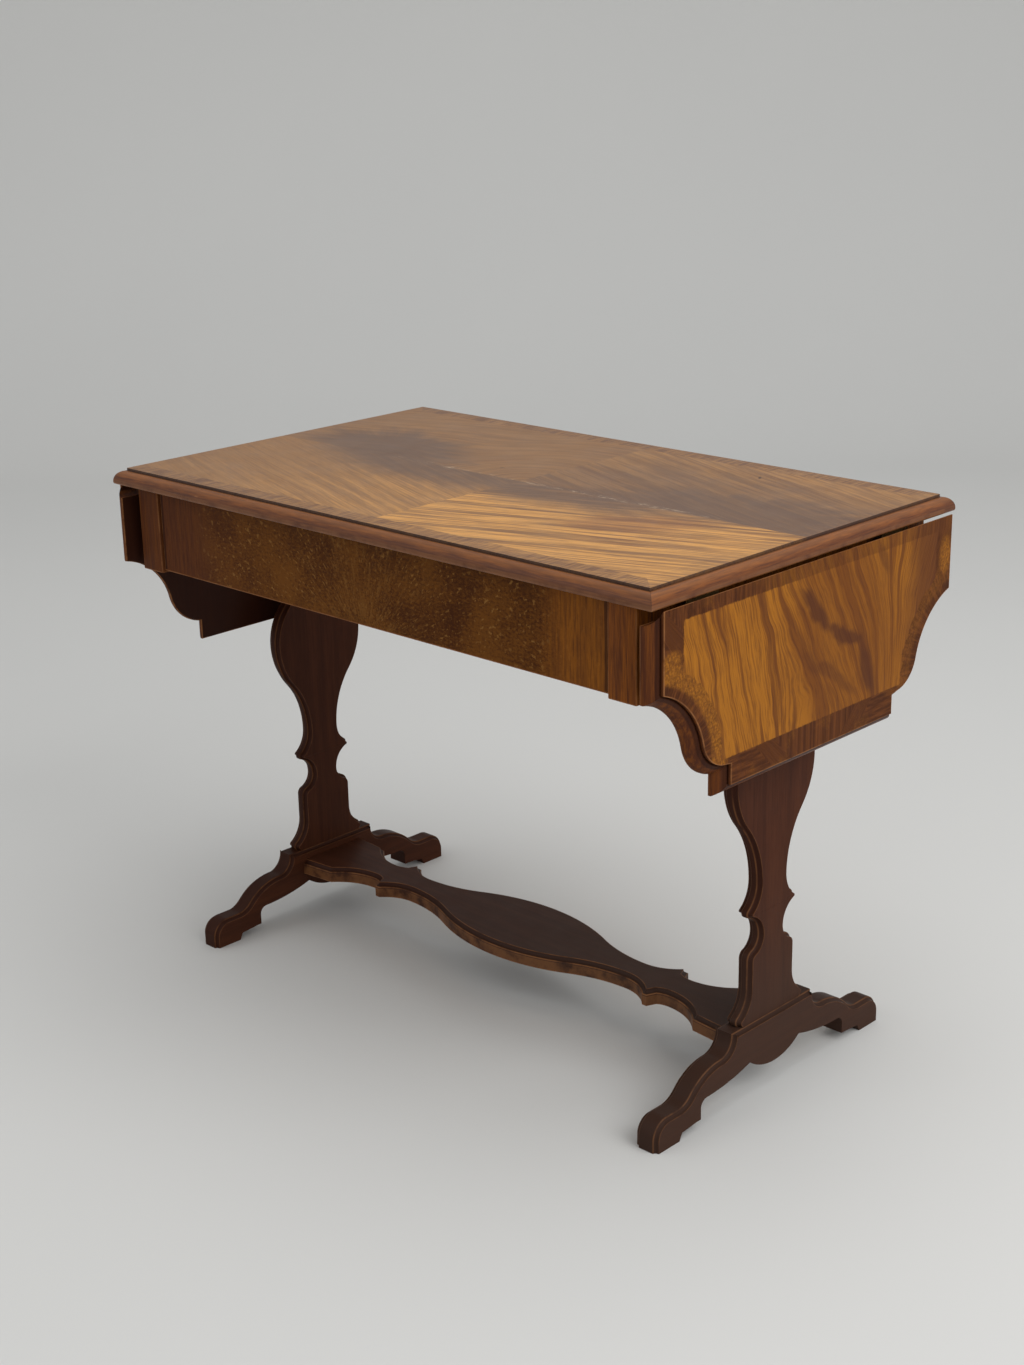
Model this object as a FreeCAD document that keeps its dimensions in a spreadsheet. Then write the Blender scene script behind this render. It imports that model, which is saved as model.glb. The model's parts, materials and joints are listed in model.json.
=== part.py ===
"""Drop-leaf coffee table on two shaped trestle ends, with a drawer in its frieze.

Millimetres. The origin is on the floor under the middle of the top. X runs along the
table from leaf to leaf, the drawer opens towards -Y and Z is up. Both leaves hang down.
"""
import FreeCAD
import Part
import Sketcher
import math
import os

# Driving sizes, one row each: name, value
SIZES = {
    # Top: veneered panel with a step and a quarter-round lipping
    "table_height": 582,
    "panel_length": 752,
    "top_side_overhang": 1,
    "top_end_overhang": 16,
    "step_height": 3,
    "ovolo_radius": 11.5,
    "lip_height": 3,
    # Leaves, measured from the hinge axis down the hanging leaf
    "leaf_thickness": 18,
    "leaf_reach": 188,
    "leaf_tab_height": 22,
    "leaf_nose_radius": 35.5,
    "leaf_nose_inset": 5.5,
    "leaf_scoop_radius": 83.5,
    "leaf_scoop_outset": 25.5,
    "leaf_scoop_drop": 27,
    # Leaf hinges
    "hinge_inset": 1,
    "hinge_rise": 0.5,
    "leaf_gap": 0.6,
    "hinge_spacing": 300,
    "hinge_width": 44,
    "hinge_plate": 1.5,
    "hinge_fixed_reach": 26,
    "hinge_leaf_reach": 48,
    "knuckle_radius": 2.5,
    "knuckle_room": 0.6,
    "knuckle_gap": 0.4,
    "hinge_pin_radius": 1.25,
    "pin_play": 0.05,
    "hinge_screw_radius": 1.5,
    "hinge_screw_head": 2.8,
    "hinge_screw_length": 10,
    "hinge_screw_spacing": 28,
    # Frieze
    "frieze_height": 94,
    "post_inner_gap": 4.5,
    "post_depth": 40,
    "frieze_setback": 3,
    "frieze_rise": 3,
    "frieze_thickness": 18,
    "end_rail_setback": 0.5,
    "end_rail_thickness": 11,
    "tenon_length": 14,
    "tenon_thickness": 6,
    "tenon_shoulder": 12,
    # Drawer: its depth sets the width of the frame and of the top
    "drawer_side_play": 1,
    "drawer_top_play": 1.5,
    "drawer_depth": 384,
    "drawer_rear_gap": 22,
    "drawer_inset": 14,
    "drawer_wall": 10,
    "drawer_side_drop": 10,
    "drawer_side_rise": 8,
    "drawer_lap": 8,
    "drawer_bottom": 5,
    "drawer_bottom_rise": 5,
    "groove_depth": 4,
    "runner_play": 0.3,
    "guide_play": 0.6,
    "runner_ledge": 9,
    "guide_height": 20,
    "stop_height": 15,
    "stop_play": 0.4,
    # Glue blocks under the top
    "glue_block": 18,
    "glue_block_length": 60,
    "end_block_spacing": 250,
    "rear_block_spacing": 320,
    "rear_block_play": 4,
    # Trestle boards: heights stack up from the top of the foot
    "splat_thickness": 18,
    "splat_toe_half": 53,
    "splat_toe_height": 9,
    "splat_flare_height": 27,
    "splat_base_half": 36,
    "splat_base_height": 30,
    "splat_base_corner": 11,
    "splat_cove_half": 18.5,
    "splat_cove_height": 14,
    "splat_cove_rise": 23,
    "splat_ear_half": 37.5,
    "splat_ear_height": 8,
    "splat_ear_rise": 25,
    "splat_neck_half": 22.5,
    "splat_vase_height": 117,
    "splat_vase_share": 0.45,
    "splat_vase_half": 65,
    "splat_shoulder_height": 54,
    "splat_head_half": 38,
    "splat_head_gap": 12,
    "splat_screw_radius": 2,
    "splat_screw_head": 4,
    "splat_screw_length": 26,
    "splat_screw_rise": 32,
    "splat_screw_row": 36,
    "splat_screw_spacing": 50,
    # Feet
    "foot_thickness": 27.5,
    "foot_length": 374,
    "foot_seat_height": 81,
    "foot_seat_half": 66,
    "foot_hump_height": 60,
    "foot_cove_width": 18,
    "foot_slope_share": 0.72,
    "foot_valley_height": 32,
    "foot_toe_length": 37,
    "foot_toe_height": 12,
    "foot_toe_inset": 22,
    "foot_pad_length": 35,
    "foot_pad_rise": 8,
    "foot_heel_width": 28,
    "foot_cusp_width": 5,
    "foot_cusp_height": 10,
    "foot_arch_height": 31,
    "foot_arch_radius": 9,
    "foot_pendant_half": 41,
    "foot_pendant_rise": 41,
    "foot_pendant_height": 27,
    "foot_tenon_half": 30,
    "foot_tenon_depth": 34,
    "foot_tenon_thickness": 9,
    # Stretcher: a quarter of its outline, with lengths that run inward from the foot
    "stretcher_top": 70,
    "stretcher_thickness": 18,
    "belly_half": 55.5,
    "belly_share": 0.58,
    "waist_half": 18.5,
    "ear_run": 37,
    "ear_half": 35,
    "ear_width": 6,
    "ear_back": 5,
    "ear_foot_half": 24,
    "neck_length": 13,
    "neck_half": 20.5,
    "flare_length": 52,
    "flare_half": 44,
    "stretcher_end_length": 44.75,
    "stretcher_end_margin": 6.5,
    "stretcher_chamfer": 3,
    "dowel_radius": 4,
    "dowel_length": 36,
    "dowel_gap": 4,
    # Swinging props that carry the raised leaves
    "prop_width": 36,
    "prop_thickness": 8,
    "prop_pivot_rise": 12.5,
    "prop_pivot_outset": 5.5,
    "prop_tip_gap": 0.3,
    "prop_pin_radius": 2,
    "prop_side_play": 0.6,
    "prop_lug_width": 12,
    "prop_lug_height": 20,
    "prop_lug_depth": 10,
}

doc = FreeCAD.newDocument("drop_leaf_table")
sheet = doc.addObject("Spreadsheet::Sheet", "sizes")


class Size:
    """A length as a number together with the sheet expression that gives it."""

    def __init__(self, value, text):
        self.value = float(value)
        self.text = text

    def __add__(self, other):
        other = size(other)
        return Size(self.value + other.value, f"({self.text} + {other.text})")

    def __sub__(self, other):
        other = size(other)
        return Size(self.value - other.value, f"({self.text} - {other.text})")

    def __rsub__(self, other):
        return size(other) - self

    def __mul__(self, other):
        other = size(other)
        return Size(self.value * other.value, f"({self.text} * {other.text})")

    def __truediv__(self, other):
        other = size(other)
        return Size(self.value / other.value, f"({self.text} / {other.text})")

    def __neg__(self):
        return Size(-self.value, f"(-1 * {self.text})")

    __radd__ = __add__
    __rmul__ = __mul__


def size(value):
    """A plain number as a Size; a Size stays as it is."""
    return value if isinstance(value, Size) else Size(value, f"({value})")


def root(value):
    """The square root of a Size."""
    return Size(math.sqrt(value.value), f"sqrt({value.text})")


def leg(long_side, short_side):
    """The other leg of a right triangle with this hypotenuse and leg."""
    return root(long_side * long_side - short_side * short_side)


def hypotenuse(across, along):
    """The long side of a right triangle with these legs."""
    return root(across * across + along * along)


def fill_sheet():
    """Write every driving size to the sheet and return the sizes by name."""
    sizes = {}
    for row, (name, value) in enumerate(SIZES.items(), start=1):
        sheet.set(f"A{row}", name)
        sheet.set(f"B{row}", str(value))
        sheet.setAlias(f"B{row}", name)
        sizes[name] = Size(value, f"sizes.{name}")
    doc.recompute()
    return sizes


D = fill_sheet()
NODES = {}
NEAR = 1e-4
OVOLO_FACETS = 4


def keep(name, solid):
    """Register a finished piece under its node name."""
    solid.Label = name
    NODES[name] = solid
    return solid


def around(centre, width):
    """The (low, high) pair of a width centred on a place."""
    return centre - width / 2, centre + width / 2


def box(name, x, y, z):
    """A square-edged block between the (low, high) pair on each axis."""
    block = doc.addObject("Part::Box", name)
    for edge, axis, (low, high) in zip(("Length", "Width", "Height"), "xyz", (x, y, z)):
        low = size(low)
        block.setExpression(edge, (size(high) - low).text)
        block.setExpression(f"Placement.Base.{axis}", low.text)
    return block


TURNS = {
    "x": FreeCAD.Rotation(FreeCAD.Vector(0, 1, 0), 90),
    "y": FreeCAD.Rotation(FreeCAD.Vector(1, 0, 0), -90),
    "z": FreeCAD.Rotation(),
}


def stand(solid, base, axis):
    """Lay a round solid's own axis along x, y or z from its base point."""
    solid.Placement = FreeCAD.Placement(FreeCAD.Vector(), TURNS[axis])
    for name, place in zip("xyz", base):
        solid.setExpression(f"Placement.Base.{name}", size(place).text)
    return solid


def rod(name, radius, length, base, axis):
    """A cylinder from its base point along an axis."""
    cylinder = doc.addObject("Part::Cylinder", name)
    cylinder.setExpression("Radius", radius.text)
    cylinder.setExpression("Height", length.text)
    return stand(cylinder, base, axis)


def taper(name, radius, end_radius, length, base, axis):
    """A cone from its base point along an axis."""
    cone = doc.addObject("Part::Cone", name)
    cone.setExpression("Radius1", radius.text)
    cone.setExpression("Radius2", end_radius.text)
    cone.setExpression("Height", length.text)
    return stand(cone, base, axis)


def fuse(name, *solids):
    """One solid from several that meet."""
    joined = doc.addObject("Part::MultiFuse", name)
    joined.Shapes = list(solids)
    return joined


def cut(name, solid, *tools):
    """A solid less one or more others."""
    tool = tools[0] if len(tools) == 1 else fuse(f"{name}_tools", *tools)
    result = doc.addObject("Part::Cut", name)
    result.Base = solid
    result.Tool = tool
    return result


def common(name, first, second):
    """What two solids share."""
    result = doc.addObject("Part::Common", name)
    result.Base = first
    result.Tool = second
    return result


def group(name, *solids):
    """Several separate solids in one piece's node."""
    bundle = doc.addObject("Part::Compound", name)
    bundle.Links = list(solids)
    return bundle


def mirror(name, solid, across="x"):
    """The opposite-hand copy of a solid across the middle of the table."""
    copy = doc.addObject("Part::Mirroring", name)
    copy.Source = solid
    copy.Base = FreeCAD.Vector()
    copy.Normal = FreeCAD.Vector(*(float(axis == across) for axis in "xyz"))
    return copy


def keep_pair(name, right):
    """Register a right-hand piece and its left-hand mirror image."""
    keep(f"{name}_right", right)
    return keep(f"{name}_left", mirror(f"{name}_left", right))


def bind(sketch, kind, place, value):
    """A dimension of a sketch tied to the sheet."""
    index = sketch.addConstraint(Sketcher.Constraint(kind, *place, value.value))
    sketch.setExpression(f"Constraints[{index}]", value.text)


def arc_between(start, end, radius, left):
    """The short arc from start to end, turning left or right, and its end numbers."""
    along = end - start
    middle = (start + end) * 0.5
    normal = FreeCAD.Vector(-along.y, along.x, 0).normalize()
    away = math.sqrt(max(radius * radius - along.Length ** 2 / 4, 0))
    centre = middle + normal * (away if left else -away)
    first, last = (start, end) if left else (end, start)
    angles = [math.atan2(p.y - centre.y, p.x - centre.x) for p in (first, last)]
    circle = Part.Circle(centre, FreeCAD.Vector(0, 0, 1), radius)
    return Part.ArcOfCircle(circle, *angles), (1, 2) if left else (2, 1)


def draw(sketch, outline):
    """Draw a closed outline of (x, y, radius, left) corners with every size tied.

    Each corner's radius belongs to the run that leaves it: None for a straight run,
    else the radius of an arc that turns left or right.
    """
    points = [FreeCAD.Vector(size(x).value, size(y).value, 0) for x, y, *_ in outline]
    ends = []
    for index, (_, _, radius, left) in enumerate(outline):
        start, end = points[index], points[(index + 1) % len(points)]
        if radius is None:
            curve, order = Part.LineSegment(start, end), (1, 2)
        else:
            curve, order = arc_between(start, end, radius.value, left)
        ends.append((sketch.addGeometry(curve), order))
    for index, (x, y, radius, _) in enumerate(outline):
        curve, order = ends[index]
        last_curve, last_order = ends[index - 1]
        sketch.addConstraint(
            Sketcher.Constraint("Coincident", last_curve, last_order[1], curve, order[0]))
        bind(sketch, "DistanceX", (-1, 1, curve, order[0]), size(x))
        bind(sketch, "DistanceY", (-1, 1, curve, order[0]), size(y))
        if radius is not None:
            bind(sketch, "Radius", (curve,), radius)


def corner(x, y):
    """An outline corner whose next run is straight."""
    return x, y, None, True


def bend(x, y, radius, left):
    """An outline corner whose next run is an arc."""
    return x, y, radius, left


def quarter_radius(start, end, level):
    """The radius of the arc between two points that is level, or upright, at one end."""
    across, along = end[0] - start[0], end[1] - start[1]
    flat = along if level else across
    radius = (across * across + along * along) / (flat * 2)
    return radius if radius.value > 0 else -radius


def ogee(start, end, share, level, left):
    """The two corners of an S curve that is level, or upright, at both its ends."""
    middle = [start[k] + (end[k] - start[k]) * share for k in range(2)]
    return [
        bend(*start, quarter_radius(start, middle, level), left),
        bend(*middle, quarter_radius(middle, end, level), not left),
    ]


def mirrored(run, flip):
    """A run of corners in a mirror, walked backwards and without the first one.

    The flip gives the signs of x and y.
    """
    back = []
    for index in range(len(run) - 1, 0, -1):
        x, y = run[index][:2]
        back.append((x * flip[0], y * flip[1], *run[index - 1][2:]))
    return back


def whole(half):
    """A closed outline from its right half, listed from the top down.

    The last corner's run crosses to the left half, and a straight run closes the top.
    """
    return [*half, *mirrored(half, (-1, 1)), corner(-half[0][0], half[0][1])]


def new_body(name):
    """An empty body for one shaped board."""
    return doc.addObject("PartDesign::Body", name)


def sketch_on(body, name, plane, outline, level):
    """A closed outline drawn on one of the body's planes, moved to a level."""
    sketch = body.newObject("Sketcher::SketchObject", f"{name}_outline")
    support = [feature for feature in body.Origin.OriginFeatures if feature.Role == plane][0]
    sketch.AttachmentSupport = [(support, "")]
    sketch.MapMode = "FlatFace"
    sketch.setExpression("AttachmentOffset.Base.z", size(level).text)
    draw(sketch, outline)
    return sketch


def pad(body, name, plane, outline, start, thickness):
    """A board of an outline on one of the body's planes, from a start level."""
    board = body.newObject("PartDesign::Pad", name)
    board.Profile = sketch_on(body, name, plane, outline, start)
    board.setExpression("Length", size(thickness).text)
    doc.recompute()
    return board


def loft(body, name, plane, sections):
    """A ruled solid through outlines, each given with its level."""
    sketches = [sketch_on(body, name, plane, outline, level) for outline, level in sections]
    solid = body.newObject("PartDesign::AdditiveLoft", name)
    solid.Profile = sketches[0]
    solid.Sections = sketches[1:]
    solid.Ruled = True
    doc.recompute()
    return solid


def edges_where(feature, test):
    """The names of a feature's edges that pass a test."""
    edges = feature.Shape.Edges
    return [f"Edge{index}" for index, edge in enumerate(edges, start=1) if test(edge)]


def ease(body, name, kind, prop, amount, test):
    """Round or chamfer the edges of a body's last feature that pass a test."""
    base = body.Tip
    dressing = body.newObject(f"PartDesign::{kind}", name)
    dressing.Base = (base, edges_where(base, test))
    dressing.setExpression(prop, amount.text)
    doc.recompute()
    return dressing


# Levels and places that several pieces share
PANEL_X = D["panel_length"] / 2
TOP_THICKNESS = D["step_height"] + D["ovolo_radius"] + D["lip_height"]
TOP_UNDER = D["table_height"] - TOP_THICKNESS
STEP_LEVEL = D["table_height"] - D["step_height"]
HINGE_X = PANEL_X - D["hinge_inset"]
HINGE_Z = TOP_UNDER + D["hinge_rise"]
HINGE_Y = D["hinge_spacing"] / 2
OVOLO_CENTRE = hypotenuse(D["hinge_inset"], D["lip_height"] - D["hinge_rise"])
COVE_RADIUS = OVOLO_CENTRE + D["ovolo_radius"] + D["leaf_gap"]
LEAF_OUTER = HINGE_X + D["table_height"] - HINGE_Z
LEAF_INNER = LEAF_OUTER - D["leaf_thickness"]
FRAME_X = PANEL_X - D["top_end_overhang"]
FRAME_BOTTOM = TOP_UNDER - D["frieze_height"]
FRIEZE_BOTTOM = FRAME_BOTTOM + D["frieze_rise"]
FRIEZE_BACK = (D["drawer_depth"] + D["drawer_rear_gap"]) / 2
FRIEZE_FACE = FRIEZE_BACK + D["frieze_thickness"]
FRAME_Y = FRIEZE_FACE + D["frieze_setback"]
PANEL_Y = FRAME_Y + D["top_side_overhang"]
END_RAIL_OUTER = FRAME_X - D["end_rail_setback"]
SPLAT_OUTER = END_RAIL_OUTER - D["end_rail_thickness"]
SPLAT_INNER = SPLAT_OUTER - D["splat_thickness"]
TRESTLE_X = SPLAT_OUTER - D["splat_thickness"] / 2
FOOT_INNER = TRESTLE_X - D["foot_thickness"] / 2
POST_X = SPLAT_INNER - D["post_inner_gap"]
POST_Y = FRAME_Y - D["post_depth"]
DOWEL_Y = D["foot_tenon_half"] + D["dowel_gap"] + D["dowel_radius"]


def hinge_gutter(sign):
    """The slot under the top that one hinge knuckle turns in."""
    room = D["knuckle_radius"] + D["knuckle_room"]
    return box("hinge_gutter", around(HINGE_X, room * 2), around(HINGE_Y * sign, D["hinge_width"]),
               (TOP_UNDER, HINGE_Z + room))


def fixed_plate_bed(sign):
    """The shallow bed under the top that one fixed hinge plate lies in."""
    start = HINGE_X - D["hinge_fixed_reach"]
    return box("hinge_bed", (start, HINGE_X), around(HINGE_Y * sign, D["hinge_width"]),
               (TOP_UNDER, TOP_UNDER + D["hinge_plate"]))


def screw_places():
    """The four (y) places of one side's hinge screws."""
    half = D["hinge_screw_spacing"] / 2
    return [HINGE_Y * sign + half * end for sign in (-1, 1) for end in (-1, 1)]


def fixed_screw_x():
    """Where the screws of the fixed plates stand along the table."""
    return HINGE_X - (D["hinge_fixed_reach"] + D["knuckle_radius"]) / 2


def fixed_screws(hole):
    """The screws of the right-hand fixed plates, or their holes with some play."""
    play = D["pin_play"] * hole
    screws = []
    for y in screw_places():
        base = (fixed_screw_x(), y, TOP_UNDER)
        shank = rod("screw_shank", D["hinge_screw_radius"] + play, D["hinge_screw_length"], base, "z")
        head = taper("screw_head", D["hinge_screw_head"] + play, D["hinge_screw_radius"] + play,
                     D["hinge_plate"], base, "z")
        screws.append(fuse("hinge_screw", shank, head))
    return screws


def leaf_screw_z():
    """How high the screws of the leaf plates sit on the hanging leaf."""
    return HINGE_Z - (COVE_RADIUS + D["hinge_leaf_reach"]) / 2


def leaf_screws(hole):
    """The screws of the right-hand leaf plates, or their holes with some play."""
    play = D["pin_play"] * hole
    screws = []
    for y in screw_places():
        base = (LEAF_INNER - D["hinge_plate"], y, leaf_screw_z())
        shank = rod("screw_shank", D["hinge_screw_radius"] + play, D["hinge_screw_length"], base, "x")
        head = taper("screw_head", D["hinge_screw_head"] + play, D["hinge_screw_radius"] + play,
                     D["hinge_plate"], base, "x")
        screws.append(fuse("hinge_screw", shank, head))
    return screws


def lipping(name, plane, across, reach, left, plan):
    """One moulded strip along an edge of the panel, cut off by the plan of its mitres."""
    section = [
        corner(across, TOP_UNDER),
        corner(reach, TOP_UNDER),
        bend(reach, TOP_UNDER + D["lip_height"], D["ovolo_radius"], left),
        corner(across, STEP_LEVEL),
    ]
    length = PANEL_X + D["ovolo_radius"]
    strip = new_body(f"lipping_{name}_strip")
    pad(strip, f"lipping_{name}_length", plane, section, -length, length * 2)
    ends = new_body(f"lipping_{name}_mitre")
    pad(ends, f"lipping_{name}_ends", "XY_Plane", plan, TOP_UNDER, TOP_THICKNESS)
    return common(f"lipping_{name}", strip, ends)


def make_top():
    """The veneered panel and its four mitred lippings."""
    board = box("panel_board", (-PANEL_X, PANEL_X), (-PANEL_Y, PANEL_Y), (TOP_UNDER, D["table_height"]))
    right_cuts = [tool(sign) for tool in (hinge_gutter, fixed_plate_bed) for sign in (-1, 1)]
    right_tools = fuse("panel_hinge_cuts", *right_cuts, *fixed_screws(1))
    left_tools = mirror("panel_hinge_cuts_left", right_tools)
    keep("top_panel", cut("top_panel", board, right_tools, left_tools))
    edge_x, edge_y = PANEL_X + D["ovolo_radius"], PANEL_Y + D["ovolo_radius"]
    front = lipping("front", "YZ_Plane", -PANEL_Y, -edge_y, False, [
        corner(-PANEL_X, -PANEL_Y), corner(-edge_x, -edge_y),
        corner(edge_x, -edge_y), corner(PANEL_X, -PANEL_Y)])
    keep("top_lipping_front", front)
    keep("top_lipping_rear", mirror("lipping_rear", front, "y"))
    right = lipping("right", "XZ_Plane", PANEL_X, edge_x, True, [
        corner(PANEL_X, -PANEL_Y), corner(edge_x, -edge_y),
        corner(edge_x, edge_y), corner(PANEL_X, PANEL_Y)])
    keep_pair("top_lipping", cut("lipping_grooved", right, hinge_gutter(-1), hinge_gutter(1)))


def leaf_outline(offset):
    """Half of a hanging leaf's outline, grown by an offset, mirrored to the whole.

    The free edge runs down the side, in along a scoop, round a nose and down a tab.
    Scoop and nose are two circles that touch.
    """
    scoop, nose = D["leaf_scoop_radius"], D["leaf_nose_radius"]
    bottom = HINGE_Z - D["leaf_reach"]
    nose_z = bottom + D["leaf_tab_height"] + nose
    scoop_z = nose_z - D["leaf_scoop_drop"]
    scoop_y = PANEL_Y + D["leaf_scoop_outset"]
    nose_y = scoop_y - leg(scoop + nose, D["leaf_scoop_drop"])
    share = (nose + offset) / (scoop + nose)
    side = PANEL_Y + offset
    tab = nose_y - D["leaf_nose_inset"] + offset
    top = HINGE_Z - D["hinge_inset"] - D["leaf_gap"]
    half = [
        corner(side, top),
        bend(side, scoop_z + leg(scoop - offset, scoop_y - side), scoop - offset, True),
        bend(nose_y + (scoop_y - nose_y) * share, nose_z + (scoop_z - nose_z) * share,
             nose + offset, False),
        corner(tab, nose_z - leg(nose + offset, tab - nose_y)),
        corner(tab, bottom - offset),
    ]
    return whole(half)


def make_leaves():
    """The two hanging leaves with a coved hinge edge and a stepped quarter-round edge."""
    body = new_body("leaf_board")
    ovolo = D["ovolo_radius"]
    ovolo_level = LEAF_OUTER - D["step_height"] - ovolo
    pad(body, "leaf_back", "YZ_Plane", leaf_outline(ovolo), LEAF_INNER, ovolo_level - LEAF_INNER)
    sections = []
    for facet in range(OVOLO_FACETS + 1):
        turn = math.pi / 2 * facet / OVOLO_FACETS
        sections.append((leaf_outline(ovolo * math.cos(turn)), ovolo_level + ovolo * math.sin(turn)))
    loft(body, "leaf_ovolo", "YZ_Plane", sections)
    face_level = LEAF_OUTER - D["step_height"]
    pad(body, "leaf_face", "YZ_Plane", leaf_outline(size(0)), face_level, D["step_height"])
    width = PANEL_Y * 2 + D["ovolo_radius"] * 4
    cove = rod("leaf_cove", COVE_RADIUS, width, (HINGE_X, -width / 2, HINGE_Z), "y")
    back = box("leaf_cove_back", (LEAF_INNER - COVE_RADIUS, HINGE_X), around(size(0), width),
               (HINGE_Z - COVE_RADIUS, HINGE_Z))
    keep_pair("leaf", cut("leaf_coved", body, cove, back, *leaf_screws(1)))


def knuckle(name, low, high, sign):
    """One knuckle barrel between two places along a hinge."""
    base = (HINGE_X, HINGE_Y * sign + low, HINGE_Z)
    return rod(name, D["knuckle_radius"], high - low, base, "y")


def make_hinges():
    """Two hinges for each leaf: fixed plates, leaf plates, pins and screws."""
    half = D["hinge_width"] / 2
    inner = D["hinge_width"] / 6
    play = D["knuckle_gap"] / 2
    clear = D["knuckle_radius"] + D["knuckle_room"]
    plate_top = TOP_UNDER + D["hinge_plate"]
    plate_back = LEAF_INNER - D["hinge_plate"]
    fixed, moving, pins = [], [], []
    for sign in (-1, 1):
        middle = HINGE_Y * sign
        bore = rod("hinge_bore", D["hinge_pin_radius"] + D["pin_play"], D["hinge_width"],
                   (HINGE_X, middle - half, HINGE_Z), "y")
        flap = box("fixed_flap", (HINGE_X - D["hinge_fixed_reach"], HINGE_X - clear),
                   around(middle, D["hinge_width"]), (TOP_UNDER, plate_top))
        pieces = [flap]
        for low, high in ((-half, -inner - play), (inner + play, half)):
            pieces.append(knuckle("fixed_knuckle", low, high, sign))
            pieces.append(box("fixed_tab", (HINGE_X - clear, HINGE_X), (middle + low, middle + high),
                              (TOP_UNDER, plate_top)))
        fixed.append(cut("fixed_plate", fuse("fixed_blank", *pieces), bore))
        flap = box("leaf_flap", (plate_back, LEAF_INNER), around(middle, D["hinge_width"]),
                   (HINGE_Z - D["hinge_leaf_reach"], HINGE_Z - clear))
        tab = box("leaf_tab", (plate_back, LEAF_INNER), (middle - inner + play, middle + inner - play),
                  (HINGE_Z - clear, HINGE_Z))
        blank = fuse("leaf_blank", flap, tab, knuckle("leaf_knuckle", -inner + play, inner - play, sign))
        moving.append(cut("leaf_plate", blank, bore))
        pins.append(rod("hinge_pin", D["hinge_pin_radius"], D["hinge_width"],
                        (HINGE_X, middle - half, HINGE_Z), "y"))
    fixed_pair, moving_pair = group("hinge_fixed", *fixed), group("hinge_moving", *moving)
    keep_pair("hinge_fixed_plates", cut("hinge_fixed_holed", fixed_pair, *fixed_screws(1)))
    keep_pair("hinge_leaf_plates", cut("hinge_leaf_holed", moving_pair, *leaf_screws(1)))
    keep_pair("hinge_pins", group("hinge_pin_pair", *pins))
    keep_pair("hinge_fixed_screws", group("hinge_fixed_screw_set", *fixed_screws(0)))
    keep_pair("hinge_leaf_screws", group("hinge_leaf_screw_set", *leaf_screws(0)))


def rail_tenon(sign):
    """The tenon at one end of the right-hand end rail."""
    middle = END_RAIL_OUTER - D["end_rail_thickness"] / 2
    ends = (POST_Y, POST_Y + D["tenon_length"]) if sign > 0 else (-POST_Y - D["tenon_length"], -POST_Y)
    return box("rail_tenon", around(middle, D["tenon_thickness"]), ends,
               (FRIEZE_BOTTOM + D["tenon_shoulder"], TOP_UNDER - D["tenon_shoulder"]))


def frieze_tenon():
    """The tenon at the right-hand end of the rear frieze."""
    middle = FRIEZE_BACK + D["frieze_thickness"] / 2
    return box("frieze_tenon", (POST_X, POST_X + D["tenon_length"]), around(middle, D["tenon_thickness"]),
               (FRIEZE_BOTTOM + D["tenon_shoulder"], TOP_UNDER - D["tenon_shoulder"]))


def make_frieze():
    """Corner posts, end rails and the rear frieze board, joined with tenons."""
    upright = (FRAME_BOTTOM, TOP_UNDER)
    rail_height = (FRIEZE_BOTTOM, TOP_UNDER)
    front = box("post_front_blank", (POST_X, FRAME_X), (-FRAME_Y, -POST_Y), upright)
    keep_pair("post_front", cut("post_front", front, rail_tenon(-1)))
    rear = box("post_rear_blank", (POST_X, FRAME_X), (POST_Y, FRAME_Y), upright)
    keep_pair("post_rear", cut("post_rear", rear, rail_tenon(1), frieze_tenon()))
    rail = box("end_rail_blank", (SPLAT_OUTER, END_RAIL_OUTER), (-POST_Y, POST_Y), rail_height)
    tenoned = fuse("end_rail_tenoned", rail, rail_tenon(-1), rail_tenon(1))
    keep_pair("end_rail", cut("end_rail", tenoned, *splat_screws(1)))
    board = box("rear_frieze_blank", (-POST_X, POST_X), (FRIEZE_BACK, FRIEZE_FACE), rail_height)
    tenon = frieze_tenon()
    keep("rear_frieze", fuse("rear_frieze", board, tenon, mirror("frieze_tenon_left", tenon)))


def splat_screws(hole):
    """The screws from the right-hand trestle board into the end rail, or their holes."""
    play = D["pin_play"] * hole
    screws = []
    for row in (0, 1):
        for sign in (-1, 1):
            base = (SPLAT_INNER, D["splat_screw_spacing"] / 2 * sign,
                    FRAME_BOTTOM + D["splat_screw_rise"] + D["splat_screw_row"] * row)
            shank = rod("screw_shank", D["splat_screw_radius"] + play, D["splat_screw_length"], base, "x")
            head = taper("screw_head", D["splat_screw_head"] + play, D["splat_screw_radius"] + play,
                         D["splat_screw_head"] - D["splat_screw_radius"], base, "x")
            screws.append(fuse("splat_screw", shank, head))
    return screws


# Drawer places that its box, the runners and the stops share
DRAWER_HALF = POST_X - D["drawer_side_play"]
DRAWER_TOP = TOP_UNDER - D["drawer_top_play"]
SIDE_OUTER = DRAWER_HALF - D["drawer_inset"]
SIDE_INNER = SIDE_OUTER - D["drawer_wall"]
SIDE_BOTTOM = FRIEZE_BOTTOM + D["drawer_side_drop"]
SIDE_TOP = DRAWER_TOP - D["drawer_side_rise"]
DRAWER_FACE = -FRIEZE_FACE
DRAWER_FRONT_BACK = -FRIEZE_BACK
DRAWER_END = DRAWER_FRONT_BACK + D["drawer_depth"]
BOTTOM_LEVEL = SIDE_BOTTOM + D["drawer_bottom_rise"]
RUNNER_TOP = SIDE_BOTTOM - D["runner_play"]


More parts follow.
